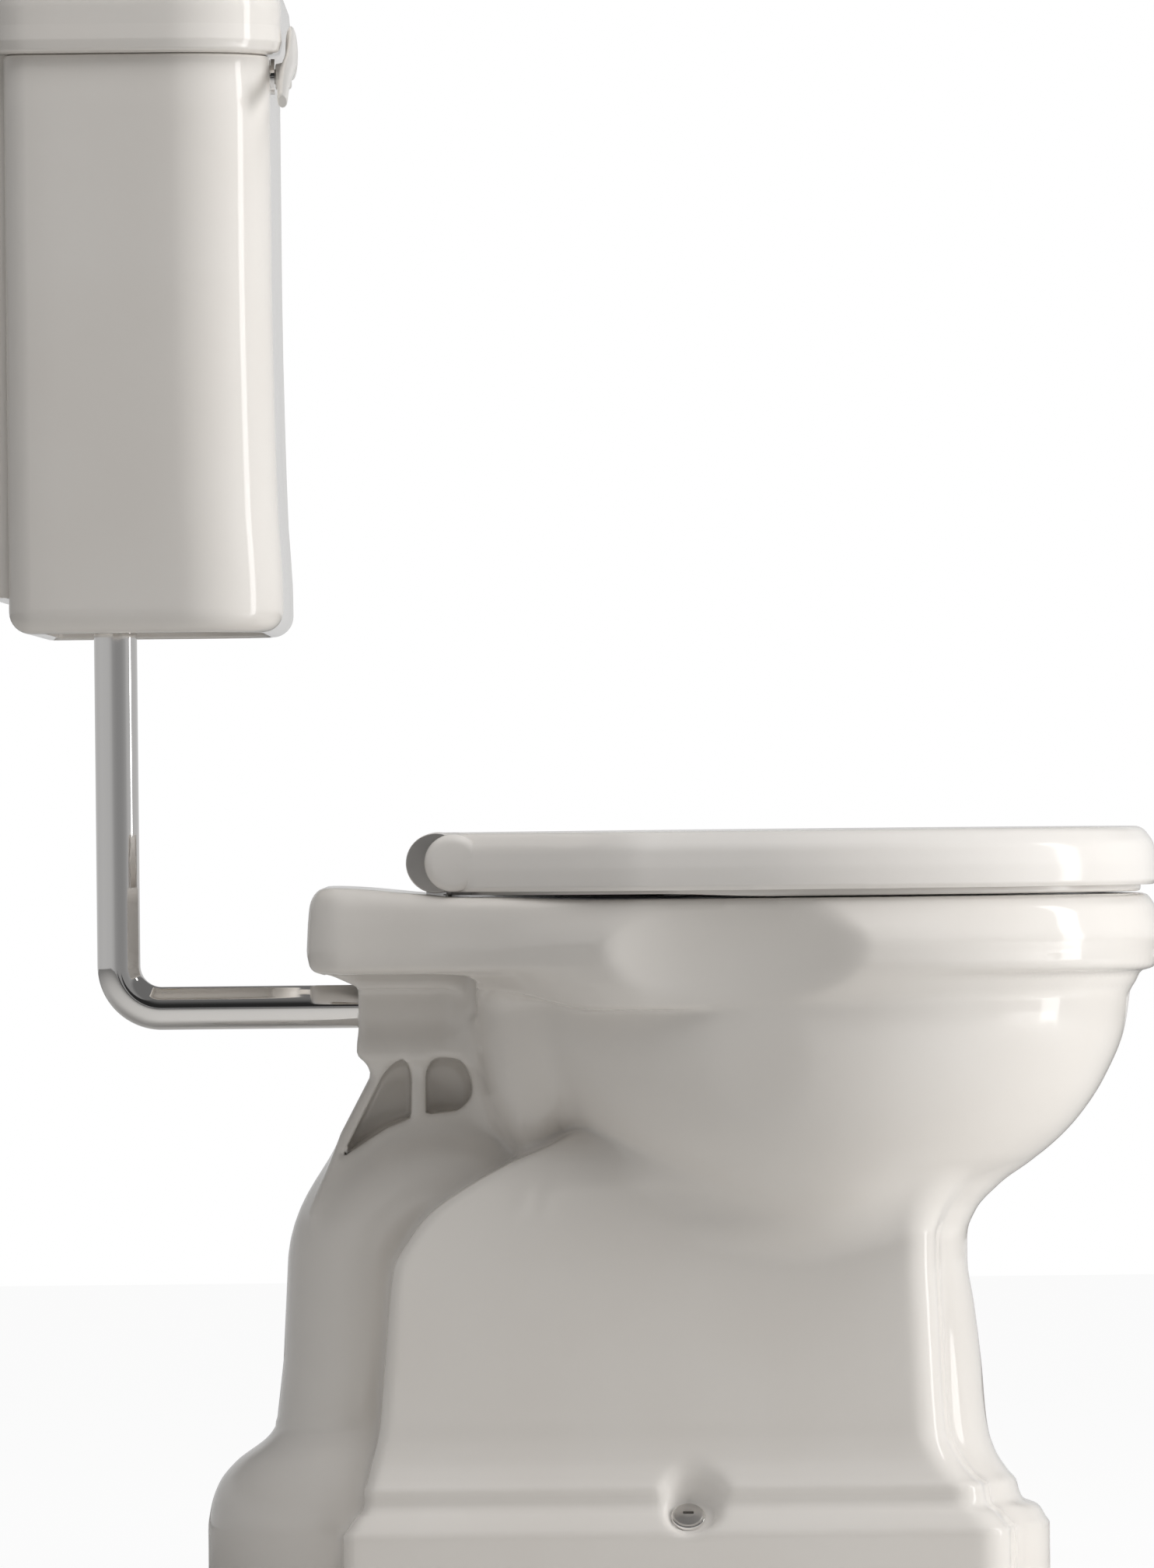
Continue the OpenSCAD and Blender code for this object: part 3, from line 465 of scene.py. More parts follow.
def pan_distance():
    plan = half_distance(plan_half(SHELF_X, SHELF_HALF, RIM_HALF, FRONT_X, SHELF_CORNER))
    rim_section, side_section = area_distance(RIM_SECTION), area_distance(SIDE_SECTION)
    shelf_section = area_distance(SHELF_SECTION)
    bowl_out, bowl_in = oval_stack(BOWL_OUT), oval_stack(BOWL_IN)
    foot, cheek = oval_stack(FOOT), oval_stack(CHEEK, 2.4)
    pedestal_rows = curve(PEDESTAL)
    hollow_front = curve([(row[0], row[2] - HOLLOW_WALL) for row in PEDESTAL])
    trap = line_distance(trap_line())
    web = area_distance(WEB)
    pockets = [area_distance(POCKET_REAR), area_distance(rounded(POCKET_FRONT))]

    def rim(x, y, z):
        rise = RISE * smooth((RISE_FROM - x) / RISE_OVER)
        level = z - rise * np.clip((z - RISE_BASE) / (RIM_Z - RISE_BASE + rise), 0, 1)
        d = plan(x, y)
        front = lerp(side_section(d, level), rim_section(d, level), smooth((x - 150) / 140))
        return lerp(front, shelf_section(d, level), smooth((12 - x) / 70))

    def pedestal(x, y, z):
        half, corner, nose, rear = pedestal_rows(z)
        middle = (corner + rear) / 2
        bulge = FRONT_ARC * (1 - np.minimum(abs(y) / half, 1) ** 2)
        along = x - middle - np.where(x > middle, bulge, 0)
        block = rounded_box(along, y, corner - middle, half, np.where(x > middle, FRONT_R, REAR_R))
        reach = nose - corner
        u, v = np.maximum(x - corner, 0) / reach, abs(y) / BOW_HALF
        q = np.hypot(u, v) + 1e-9
        bow = (q - 1) / np.hypot(u / q / reach, v / q / BOW_HALF)
        body = join(block, np.maximum(bow, corner - BOW_BACK - x), 4)
        return np.maximum(np.maximum(body, -z), z - PEDESTAL_TOP)

    def webs(x, y, z):
        plate = meet(web(x, z), abs(y) - WEB_HALF, 6)
        for pocket in pockets:
            plate = cut(plate, np.maximum(pocket(x, z), WEB_CORE - abs(y)), 2.5)
        return plate

    def screw_recess(x, y, z):
        """A scoop along the screw's slanting axis, wider towards the front, and the screw's hole"""
        across, up = x - SCREW_X, z - SCREW_Z
        out = SCREW_Y + abs(y)
        along = (out + up) * math.sqrt(0.5)
        side = (up - out) * math.sqrt(0.5)
        spread = SCOOP_R + np.maximum(along, 0) * SCOOP_FLARE
        wide = np.where(across > 0, 1 / SCOOP_SKEW, SCOOP_SKEW)
        scoop = np.maximum(np.hypot(across * wide, side) - spread, -along)
        hole = np.hypot(across, side) - SCREW_HOLE_R
        return np.minimum(scoop, hole)

    def whole(x, y, z):
        d = join(rim(x, y, z), np.maximum(bowl_out(x, y, z), np.maximum(z - BOWL_TOP, BOWL_FOOT - z)), 2.5)
        block = rounded_box(x - (INLET_X + BLOCK_FRONT) / 2, z - BLOCK_Z,
                            (BLOCK_FRONT - INLET_X) / 2, BLOCK_HALF_Z, 2.5)
        block = meet(block, abs(y) - BLOCK_HALF, 3)
        d = join(d, block, 3)
        d = join(d, np.maximum(cheek(x, y, z), np.maximum(CHEEK_LOW - z, z - CHEEK_HIGH)), 18)
        line = trap(x, z)
        shell_r = TRAP_R + TRAP_WALL
        swell = lerp(TRAP_SWELL, shell_r, smooth((x + 60) / 50))
        q = np.hypot(line / shell_r, y / swell) + 1e-9
        shell = (q - 1) / np.hypot(line / q / shell_r ** 2, y / q / swell ** 2)
        back = join(shell, webs(x, y, z), 8)
        back = join(back, np.maximum(np.maximum(foot(x, y, z), z - FOOT_TOP), -z), 9)
        base = join(back, pedestal(x, y, z), 5)
        d = join(d, base, 16)
        inner = np.maximum(bowl_in(x, y, z), WELL_FLOOR - z)
        inner = join(inner, np.maximum(np.hypot(line, y) - TRAP_R, z - WELL_TOP), 6)
        d = cut(d, inner, 4)
        front = hollow_front(z)[0]
        hollow = rounded_box(x - (front + HOLLOW_REAR) / 2, y, (front - HOLLOW_REAR) / 2, HOLLOW_HALF,
                             HOLLOW_CORNER)
        hollow = cut(np.maximum(hollow, z - HOLLOW_TOP), shell, 3)
        d = cut(d, hollow, 3)
        d = cut(d, np.maximum(np.hypot(x - OUTLET_X, y) - OUTLET_R, z - OUTLET_LEN), 2)
        pipe = np.hypot(z - INLET_Z, y)
        d = cut(d, np.maximum(pipe - CONE_R, x - CONE_FRONT), 3)
        d = cut(d, np.maximum(pipe - FLUSH_R, x - FLUSH_FRONT), 1.5)
        bolt = np.hypot(x - HINGE[0], abs(y) - BOLT_Y)
        d = cut(d, np.maximum(bolt - BOLT_R, BOLT_LOW - z), 1.5)
        d = cut(d, np.maximum(bolt - BOLT_SEAT_R, RIM_Z - z), 0.5)
        middle_x, middle_y, *sizes = NUT_POCKET
        pocket = np.maximum(rounded_box(x - middle_x, abs(y) - middle_y, *sizes), z - NUT_POCKET_TOP)
        d = cut(d, np.maximum(pocket, NUT_POCKET_LOW - z), 3)
        return np.maximum(cut(d, screw_recess(x, y, z), 5), -z)
    return whole


def pan_piece():
    cell = 3.1
    low = (PAN_LOW[0], 0, 0)
    return skin("pan_glaze", pan_distance(), low, (FRONT_X, RIM_HALF, PAN_TOP), cell)


# Lofts: closed meshes through stacks of rings, each ring from the rear centre round by positive y


def closed_mesh(name, verts, faces, sharp):
    """Object of a closed mesh in millimetres, its faces turned outwards"""
    obj = mesh_object(name, verts, faces)
    bm = bmesh.new()
    bm.from_mesh(obj.data)
    bmesh.ops.remove_doubles(bm, verts=bm.verts, dist=0.02 * MM)
    bmesh.ops.recalc_face_normals(bm, faces=bm.faces)
    bm.to_mesh(obj.data)
    bm.free()
    obj.data.shade_smooth()
    obj.data.set_sharp_from_angle(angle=math.radians(sharp))
    return obj


def bands(n, m, closed=False):
    """Quads between m rings of n points, and from the last ring to the first where closed"""
    return [(k * n + i, k * n + (i + 1) % n, (k + 1) % m * n + (i + 1) % n, (k + 1) % m * n + i)
            for k in range(m if closed else m - 1) for i in range(n)]


def loft(name, rings, sharp=35):
    """Closed mesh through rings of equal length, with flat ends"""
    n, m = len(rings[0]), len(rings)
    verts = np.vstack(rings)
    faces = bands(n, m)
    for start, flip in ((0, True), ((m - 1) * n, False)):
        for i in range(n // 2):
            quad = [start + j for j in dict.fromkeys((i, i + 1, (n - i - 1) % n, (n - i) % n))]
            faces.append(tuple(quad[::-1] if flip else quad))
    return closed_mesh(name, verts, faces, sharp)


def lifted(half, z):
    """A whole ring at a height, from its half outline"""
    ring = np.vstack([half, half[-2:0:-1] * (1, -1)])
    return np.column_stack([ring, np.full(len(ring), z)])


def bevel(obj, width, segments=3, angle=40):
    """Rounds an object's sharp edges in its mesh"""
    mod = obj.modifiers.new("bevel", "BEVEL")
    mod.width = width * MM
    mod.segments = segments
    mod.limit_method = "ANGLE"
    mod.angle_limit = math.radians(angle)
    mod.harden_normals = False
    bake_modifiers(obj)
    obj.data.shade_smooth()
    obj.data.set_sharp_from_angle(angle=math.radians(60))


def bake_modifiers(obj):
    graph = bpy.context.evaluated_depsgraph_get()
    mesh = bpy.data.meshes.new_from_object(obj.evaluated_get(graph))
    obj.modifiers.clear()
    obj.data = mesh


def boolean(obj, tools, operation="DIFFERENCE"):
    for tool in tools:
        mod = obj.modifiers.new("boolean", "BOOLEAN")
        mod.operation = operation
        mod.solver = "EXACT"
        mod.object = tool
        bake_modifiers(obj)
        bpy.data.objects.remove(tool)
    obj.data.shade_smooth()
    obj.data.set_sharp_from_angle(angle=math.radians(35))


def turned(name, section, centre, axis="z", steps=64, sharp=35):
    """Solid of revolution of a section of (radius, place along the axis) that starts and ends on the axis"""
    rings, verts, faces = [], [], []
    for radius, along in section:
        if radius < 1e-6:
            rings.append([len(verts)])
            verts.append((0, 0, along))
        else:
            rings.append(list(range(len(verts), len(verts) + steps)))
            for k in range(steps):
                t = 2 * math.pi * k / steps
                verts.append((radius * math.cos(t), radius * math.sin(t), along))
    for a, b in zip(rings, rings[1:]):
        for k in range(steps):
            quad = (a[k % len(a)], a[(k + 1) % len(a)], b[(k + 1) % len(b)], b[k % len(b)])
            quad = tuple(dict.fromkeys(quad))
            if len(quad) > 2:
                faces.append(quad)
    turn = {"z": Matrix.Identity(3), "x": Matrix.Rotation(math.radians(90), 3, "Y"),
            "y": Matrix.Rotation(math.radians(-90), 3, "X")}[axis]
    placed = [turn @ Vector(v) + Vector(centre) for v in verts]
    return closed_mesh(name, placed, faces, sharp)


def cylinder(name, radius, length, start, axis="z", steps=48):
    return turned(name, [(0, 0), (radius, 0), (radius, length), (0, length)], start, axis, steps)


def block(name, low, high):
    low, high = np.array(low, float), np.array(high, float)
    verts = [low + (high - low) * corner for corner in np.ndindex(2, 2, 2)]
    faces = [(0, 1, 3, 2), (4, 6, 7, 5), (0, 4, 5, 1), (2, 3, 7, 6), (0, 2, 6, 4), (1, 5, 7, 3)]
    return mesh_object(name, verts, faces, 30)


def tube(name, path, radius, inner, steps=48):
    """Open-ended pipe with a wall, along points in x and z"""
    path = np.array(path, float)
    verts = []
    along = np.gradient(path, axis=0)
    along /= np.linalg.norm(along, axis=1)[:, None]
    for r in (radius, inner):
        for (x, z), (dx, dz) in zip(path, along):
            for k in range(steps):
                t = 2 * math.pi * k / steps
                verts.append((x - dz * r * math.cos(t), r * math.sin(t), z + dx * r * math.cos(t)))
    m, half = len(path), len(path) * steps
    faces = bands(steps, m)
    faces += [tuple(half + corner for corner in quad[::-1]) for quad in faces]
    for end, flip in ((0, True), ((m - 1) * steps, False)):
        for k in range(steps):
            a, b = end + k, end + (k + 1) % steps
            quad = (a, b, b + half, a + half)
            faces.append(quad[::-1] if flip else quad)
    return closed_mesh(name, verts, faces, 40)


# Cistern and its lid
LEVER_Y, LEVER_Z = -150.0, 903.0
PIPE_X = -278.0
VALVE_X, VALVE_Y = -265, 165
WALL_BOLT_Y, WALL_BOLT_Z = 130, 870
SIPHON_HOLE_R, VALVE_HOLE_R, LEVER_HOLE_R, BOLT_HOLE_R = 21, 11, 7, 5
TANK_HALF = 225.0
TANK_REAR = -335.0
TANK_CORNER = 60.0
TANK_REAR_CORNER = 14.0
WALL_STRIP_HALF = 208.0
# Lower end of the strip at the wall: height and reach
WALL_STRIP_END = [(597, 1.0), (594.8, 0.93), (594, 0.75), (593.6, 0.1), (593, 0)]
TANK_FRONT = [(572, -173), (600, -173.2), (640, -175.5), (700, -177), (780, -178), (915, -178)]
FLOOR_TOP, FLOOR_UNDER = 632.0, 622.0
CHINA = 9.0
INNER_R, MOUTH_R, SKIRT_R = 8, 3, 13
LID_FRONT = -178


def tank_half(front, by, strip=0.0):
    """Half outline of the cistern grown by a distance; strip is how far its rear reaches out to the wall"""
    rear, half = TANK_REAR - by, TANK_HALF + by
    r, rear_r = max(TANK_CORNER + by, 4), max(TANK_REAR_CORNER + by, 3)
    front = front + by
    wall = lerp(rear, WALL_X, strip)
    edge = min(WALL_STRIP_HALF, half - rear_r - 0.5)
    rear_arc = arc(rear + rear_r, half - rear_r, -rear_r, rear_r, 0, 90, 8)
    strip_r = 3 * strip
    strip_line = [(wall, y) for y in np.linspace(0, edge - 8, 8)]
    strip_line += [(wall, edge - strip_r), (wall + strip_r * 0.3, edge - strip_r * 0.3)]
    strip_line += [(wall + strip_r, edge), (lerp(wall + strip_r, rear, 0.7), edge), (rear, edge + 0.01)]
    side = [(x, half) for x in np.linspace(rear + rear_r, front - r, 6)[1:-1]]
    front_arc = arc(half - r, front - r, r, r, 0, 90, 20)[:, ::-1]
    nose = [(front, y) for y in np.linspace(half - r, 0, 8)[1:]]
    return np.vstack([strip_line, rear_arc, side, front_arc, nose])


def cistern_piece():
    front_at = curve(TANK_FRONT)

    def ring(z, by, strip=0.0):
        return lifted(tank_half(float(front_at(z)[0]), by, strip), z)

    r = INNER_R
    rings = [ring(FLOOR_TOP, -CHINA - r)]
    rings += [ring(FLOOR_TOP + r - r * math.cos(t), -CHINA - r + r * math.sin(t))
              for t in (0.5, 1.0, math.pi / 2)]
    r = MOUTH_R
    rings += [ring(z, -CHINA) for z in (700, 780, 850, LID_LINE - r)]
    rings += [ring(LID_LINE - r + r * math.sin(t), -CHINA + r - r * math.cos(t))
              for t in (0.8, math.pi / 2)]
    rings += [ring(LID_LINE, -3, 1.0), ring(LID_LINE - 1, -1, 1.0), ring(LID_LINE - 3, 0, 1.0)]
    rings += [ring(z, 0, 1.0) for z in (880, 840, 780, 740, 700, 670, 640, 620, 604)]
    rings += [ring(z, 0, strip) for z, strip in WALL_STRIP_END]
    rings.append(ring(TANK_BOTTOM + SKIRT_R + 2, 0))
    for t in np.radians(np.linspace(90, 0, 9)):
        rings.append(ring(TANK_BOTTOM + SKIRT_R * (1 - math.cos(t)), -SKIRT_R * (1 - math.sin(t))))
    rings += [ring(TANK_BOTTOM + 1.5, -16), ring(TANK_BOTTOM + 6, -17), ring(FLOOR_UNDER - 8, -18),
              ring(FLOOR_UNDER - 2, -20), ring(FLOOR_UNDER, -26)]
    obj = loft("cistern_glaze", rings, 50)
    tools = [cylinder("tool", SIPHON_HOLE_R, 20, (PIPE_X, 0, FLOOR_UNDER - 4)),
             cylinder("tool", VALVE_HOLE_R, 20, (VALVE_X, VALVE_Y, FLOOR_UNDER - 4)),
             cylinder("tool", LEVER_HOLE_R, 30, (-195, LEVER_Y, LEVER_Z), "x")]
    tools += [cylinder("tool", BOLT_HOLE_R, 40, (WALL_X - 5, side * WALL_BOLT_Y, WALL_BOLT_Z), "x")
              for side in (-1, 1)]
    boolean(obj, tools)
    return obj


def cistern_lid_piece():
    """Rings from the flat top, down the coved side, under the lip and up inside"""
    section = rounded([(-60, 42, 0), (5.8, 42, 4), (6.9, 28, 12), (6.6, 17, 8), (7.1, 8, 6), (5.6, 1.6, 3),
                       (-1, 0, 1), (-11, 0, 0.5), (-11, -2, 0.8), (-17, -2, 0.8), (-17, 10, 4), (-23, 30, 6),
                       (-60, 30, 0)], 5)
    rings = []
    for by, z in section:
        strip = 1.0 if z > 0.5 and by > -8 else 0.0
        rings.append(lifted(tank_half(LID_FRONT, by, strip), LID_LINE + z))
    return loft("cistern_lid_glaze", rings, 50)


# Seat: ring, lid and their hinge
SEAT_BOTTOM = 414.0
LID_BOTTOM = 416.0
LID_HALF, LID_NOSE, LID_CORNER = 178, FRONT_X - 2, 14
RING_T = 22.5
RING_LIP, RING_LIP_FROM, RING_LIP_OVER = 2.0, 40, 80
RING_REAR, RING_REAR_HALF, RING_HALF, RING_NOSE, RING_CORNER = -76, 96, 167, FRONT_X - 12, 12
HOLE_X, HOLE_REACH, HOLE_HALF = 125, 140, 108
ARM_Y, ARM_FRONT, KNUCKLE_R = (50, 68), -50, 8
LID_UNDER = 442.5
ROLL_R = 18.0
ROLL_HALF = 105.0
SLOT_Y = (49, 87)
CHEEK_X, CHEEK_R, CHEEK_WIDE = HINGE[0] + 10.5, 17.4, 20
# Radius of the discs on the roll's ends, whose dark grey is painted shade
SHADE_DISC_R = 17.7


def pin_slots(obj):
    """Cuts the openings round the hinge knuckles"""
    for side in (-1, 1):
        y0, y1 = sorted((side * SLOT_Y[0], side * SLOT_Y[1]))
        low = (HINGE[0] - ROLL_R - 1, y0, HINGE[2] - ROLL_R - 1)
        boolean(obj, [block("tool", low, (HINGE[0] + 14, y1, HINGE[2] + ROLL_R + 1))])


def drum(radius, length, corner):
    """Section of a drum whose edges are rounded"""
    return rounded([(0, 0, 0), (radius, 0, corner), (radius, length, corner), (0, length, 0)], 8)


def seat_lid_piece():
    """Lid with its rolled rear edge, a crowned top and a hollow underside"""
    top = HINGE[2] + ROLL_R
    section = rounded([(-90, top, 0), (-9, top - 0.3, 9), (-1.8, top - 10, 14), (0, top - 22, 20),
                       (0, LID_BOTTOM + 2.5, 2.5), (-2.5, LID_BOTTOM, 1.5), (-6, LID_BOTTOM, 1.5),
                       (-8, LID_BOTTOM + 2, 1.5), (-8, LID_UNDER, 5), (-90, LID_UNDER, 0)], 6)
    rings = []
    for by, z in section:
        half = plan_half(HINGE[0], ROLL_HALF + by, LID_HALF + by, LID_NOSE + by, max(LID_CORNER + by, 4), 40)
        rings.append(lifted(half, z))
    obj = loft("seat_lid_gloss", rings, 50)
    roll = turned("roll", drum(ROLL_R, 2 * ROLL_HALF, 9), (HINGE[0], -ROLL_HALF, HINGE[2]), "y")
    cheeks = [turned("cheek", drum(CHEEK_R, CHEEK_WIDE, 6),
                     (CHEEK_X, side * (ROLL_HALF - 2) - CHEEK_WIDE / 2, HINGE[2]), "y") for side in (-1, 1)]
    boolean(obj, [roll] + cheeks, "UNION")
    pin_slots(obj)
    return obj


def roll_end_shade_disc_pieces():
    """Steel discs that close the ends of the lid's roll; their dark grey is painted shade, standing in for the
    shaded crescent at each end
    """
    section = rounded([(0, 0, 0), (SHADE_DISC_R, 0, 0.6), (SHADE_DISC_R, 2.4, 0.6), (0, 2.4, 0)])
    return [turned("roll_end_shade_disc", section, (HINGE[0], side * (ROLL_HALF + 0.6) - 1.2, HINGE[2]), "y")
            for side in (-1, 1)]


def seat_ring_piece():
    """Ring with a rounded rim and hole, carried by two arms that end in hinge knuckles"""
    steps = 96
    outer = rounded([(-20, 0, 0), (-11, 0, 1), (-10, -RING_LIP, 0.8), (0, -RING_LIP, 2), (0, RING_T, 7),
                     (-20, RING_T, 0)], 6)
    inner = rounded([(20, RING_T, 0), (0, RING_T, 11), (0, 0, 4), (20, 0, 0)], 6)
    rings = []
    for by, z in outer[1:-1]:
        half = plan_half(RING_REAR - by, RING_REAR_HALF + by, RING_HALF + by, RING_NOSE + by,
                         max(RING_CORNER + by, 6), 40)
        ring = lifted(resampled(half, steps), SEAT_BOTTOM + max(z, 0))
        ring[:, 2] += min(z, 0) * smooth((ring[:, 0] - RING_LIP_FROM) / RING_LIP_OVER)
        rings.append(ring)
    for by, z in inner[1:-1]:
        half = arc(HOLE_X, 0, HOLE_REACH + by, HOLE_HALF + by, 180, 0, steps + 1)
        rings.append(lifted(half, SEAT_BOTTOM + z))
    obj = ringed("seat_ring_gloss", rings)
    for side in (-1, 1):
        y0, y1 = sorted((side * ARM_Y[0], side * ARM_Y[1]))
        arm = block("arm", (HINGE[0], y0, SEAT_BOTTOM + 3), (ARM_FRONT, y1, HINGE[2] + 3))
        boolean(arm, [cylinder("knuckle", KNUCKLE_R, y1 - y0, (HINGE[0], y0, HINGE[2]), "y")], "UNION")
        bevel(arm, 1.2, 2)
        boolean(obj, [arm], "UNION")
    return obj


def resampled(half, steps):
    """The same line with points at even spacing"""
    gaps = np.linalg.norm(np.diff(half, axis=0), axis=1)
    along = np.concatenate([[0], np.cumsum(gaps)])
    at = np.linspace(0, along[-1], steps + 1)
    return np.stack([np.interp(at, along, half[:, 0]), np.interp(at, along, half[:, 1])], axis=1)


def ringed(name, rings, sharp=50):
    """Closed mesh through rings of which the last joins the first, such as a seat with a hole"""
    faces = bands(len(rings[0]), len(rings), closed=True)
    return closed_mesh(name, np.vstack(rings), faces, sharp)


# Chromed pieces


def flush_pipe_piece():
    high = box_mm("flush_pipe")[1]
    radius = PIPE_D / 2
    x, top, end, bend = PIPE_X, float(high[2]), float(high[0]), PIPE_BEND_R
    elbow = arc(x + bend, INLET_Z + bend, bend, bend, 180, 270, 25)
    upright = [(x, top), (x, 500), (x, INLET_Z + bend + 1)]
    level = [(x + bend + 1, INLET_Z), (end, INLET_Z)]
    return tube("flush_pipe_chrome", np.vstack([upright, elbow, level]), radius, radius - PIPE_WALL, 64)


def swept(name, stations, sharp=40, steps=32):
    """Closed mesh through ovals, each given by its centre and its two half axes as vectors"""
    rings = []
    for centre, across, out in stations:
        t = np.linspace(0, 2 * math.pi, steps, endpoint=False)[:, None]
        rings.append(np.array(centre) + np.cos(t) * np.array(across) + np.sin(t) * np.array(out))
    verts = np.vstack(rings)
    faces = bands(steps, len(rings))
    faces.append(tuple(range(steps)))
    faces.append(tuple(range(len(verts) - steps, len(verts))))
    return closed_mesh(name, verts, faces, sharp)


# Lever: distance along it from the middle of its dome, half width, rear face and front face in x
LEVER_DOME = (LEVER_Y, LEVER_Z + 14)
LEVER_END = (LEVER_Y - 55.5, LEVER_Z - 17)
LEVER_ROWS = [(-16.2, 0.5, -167.6, -167.0), (-15.6, 4.5, -168.4, -166.0), (-13.5, 8.8, -168.9, -164.4),
              (-10, 12.6, -169.0, -162.9), (-5, 15.3, -169.0, -161.9), (0, 16.2, -169.0, -161.6),
              (5, 15.4, -169.0, -161.6), (10, 13.0, -169.1, -161.9), (15, 10.2, -169.8, -162.5),
              (20, 7.8, -171.2, -162.6), (27, 6.2, -172.6, -164.0), (36, 5.4, -173.2, -165.4),
              (48, 4.9, -173.3, -166.4), (60, 4.9, -173.2, -167.0), (62.6, 4.6, -173.0, -167.2),
              (63.6, 4.0, -172.4, -167.8)]


def lever_handle_piece():
    """Pear-shaped lever: a dome in front of the lid's edge that narrows to a drooping bar"""
    dome, end = np.array(LEVER_DOME), np.array(LEVER_END)
    along = (end - dome) / np.linalg.norm(end - dome)
    at = curve(LEVER_ROWS)
    places = np.concatenate([[row[0] for row in LEVER_ROWS[:4]], np.linspace(-7, 62.6, 36), [63.6]])
    stations = []
    for place in places:
        wide, rear, front = (float(value) for value in at(place))
        middle = dome + along * place
        stations.append(((rear / 2 + front / 2, *middle), (0, -along[1] * wide, along[0] * wide),
                         ((front - rear) / 2, 0, 0)))
    obj = swept("lever_chrome", stations)
    boss = turned("boss", rounded([(0, 0, 0), (7.5, 0, 0.8), (8.6, 5, 2), (7, 9.5, 2), (0, 9.5, 0)]),
                  (-175, LEVER_Y, LEVER_Z), "x")
    low = box_mm("lever_spindle")[0]
    spindle = cylinder("spindle", 4.5, -171 - low[0], (low[0], LEVER_Y, LEVER_Z), "x")
    boolean(obj, [boss, spindle], "UNION")
    return obj


def floor_screw_pieces():
    """Slotted round heads on flanged sleeves, leaning out at 45 degrees"""
    head = rounded([(0, 4.6, 0), (3.5, 4.5, 6), (8.6, 3.2, 1.2), (9.2, 2.0, 0.3), (3.5, 2, 0.1), (3.5, -8, 0),
                    (0, -8, 0)], 4)
    sleeve = rounded([(3.6, 2, 0), (10, 2, 0.8), (10.6, 0.2, 0.2), (4.9, 0, 0.1), (4.9, -8, 0),
                      (3.6, -8, 0)], 3)
    sleeve = np.vstack([sleeve, sleeve[:1]])
    screws, sleeves = [], []
    for side in (-1, 1):
        place = (Matrix.Translation(Vector((SCREW_X, side * -SCREW_Y, SCREW_Z)) * MM)
                 @ Matrix.Rotation(math.radians(-side * 45), 4, "X"))
        screw = turned("screw", [tuple(p) for p in head[::-1]], (0, 0, 0))
        boolean(screw, [block("slot", (-3.2, -1.0, 2.4), (3.2, 1.0, 8))])
        ring = turned("sleeve", [tuple(p) for p in sleeve], (0, 0, 0))
        for obj, group in ((screw, screws), (ring, sleeves)):
            obj.data.transform(place)
            group.append(obj)
    return screws, sleeves


# Materials


def material(name, colour, roughness, metallic=0.0, **extra):
    mat = bpy.data.materials.new(name)
    mat.use_nodes = True
    shader = mat.node_tree.nodes["Principled BSDF"]
    shader.inputs["Base Color"].default_value = (*colour, 1)
    shader.inputs["Roughness"].default_value = roughness
    shader.inputs["Metallic"].default_value = metallic
    for socket, value in extra.items():
        shader.inputs[socket.replace("_", " ")].default_value = value
    return mat


def add_node(mat, kind, **values):
    node = mat.node_tree.nodes.new(kind)
    for key, value in values.items():
        if key in node.inputs:
            node.inputs[key].default_value = value
        else:
            setattr(node, key, value)
    return node


def wire(mat, *links):
    for (a, out), (b, into) in links:
        mat.node_tree.links.new(a.outputs[out], b.inputs[into])


def noise_into(mat, node, entry, out, socket, **values):
    """Noise that goes through a node into one of the shader's sockets"""
    place = add_node(mat, "ShaderNodeTexCoord")
    noise = add_node(mat, "ShaderNodeTexNoise", **values)
    shader = mat.node_tree.nodes["Principled BSDF"]
    wire(mat, ((place, "Object"), (noise, "Vector")), ((noise, "Fac"), (node, entry)),
         ((node, out), (shader, socket)))


def mottled(mat, low, high, scale, detail=3.0):
    """Base colour that drifts between two tones"""
    ramp = add_node(mat, "ShaderNodeValToRGB")
    for stop, position, colour in zip(ramp.color_ramp.elements, (0.35, 0.65), (low, high)):
        stop.position = position
        stop.color = (*colour, 1)
    noise_into(mat, ramp, "Fac", "Color", "Base Color", Scale=scale, Detail=detail)


def varied_roughness(mat, low, high, scale):
    spread = add_node(mat, "ShaderNodeMapRange")
    spread.inputs["To Min"].default_value = low
    spread.inputs["To Max"].default_value = high
    noise_into(mat, spread, "Value", "Result", "Roughness", Scale=scale, Detail=4.0)


def bump(mat, scale, depth, strength=1.0, detail=2.0):
    """Fine relief, its depth in metres"""
    relief = add_node(mat, "ShaderNodeBump", Strength=strength, Distance=depth)
    noise_into(mat, relief, "Height", "Normal", "Normal", Scale=scale, Detail=detail)


def glazed_china():
    mat = material("glazed_china", (0.80, 0.765, 0.725), 0.07, Coat_Weight=0.3, Coat_Roughness=0.03,
                   Specular_IOR_Level=0.5)
    mottled(mat, (0.795, 0.758, 0.715), (0.815, 0.782, 0.742), 9.0)
    varied_roughness(mat, 0.05, 0.11, 14.0)
    bump(mat, 11.0, 0.0006, 0.35, 1.0)
    return mat


def gloss_seat():
    mat = material("gloss_seat", (0.81, 0.78, 0.745), 0.1, Coat_Weight=0.2, Coat_Roughness=0.05)
    mottled(mat, (0.805, 0.772, 0.736), (0.822, 0.795, 0.762), 7.0)
    varied_roughness(mat, 0.09, 0.15, 20.0)
    bump(mat, 16.0, 0.0003, 0.3, 1.0)
    return mat


def chrome():
    mat = material("chrome_plate", (0.93, 0.915, 0.90), 0.05, 1.0)
    varied_roughness(mat, 0.03, 0.07, 30.0)
    return mat


def satin_metal():
    """Cast lever: a pale satin plate with a soft sheen"""
    mat = material("satin_plate", (0.80, 0.78, 0.75), 0.28, 0.35)
    varied_roughness(mat, 0.22, 0.36, 40.0)
    return mat


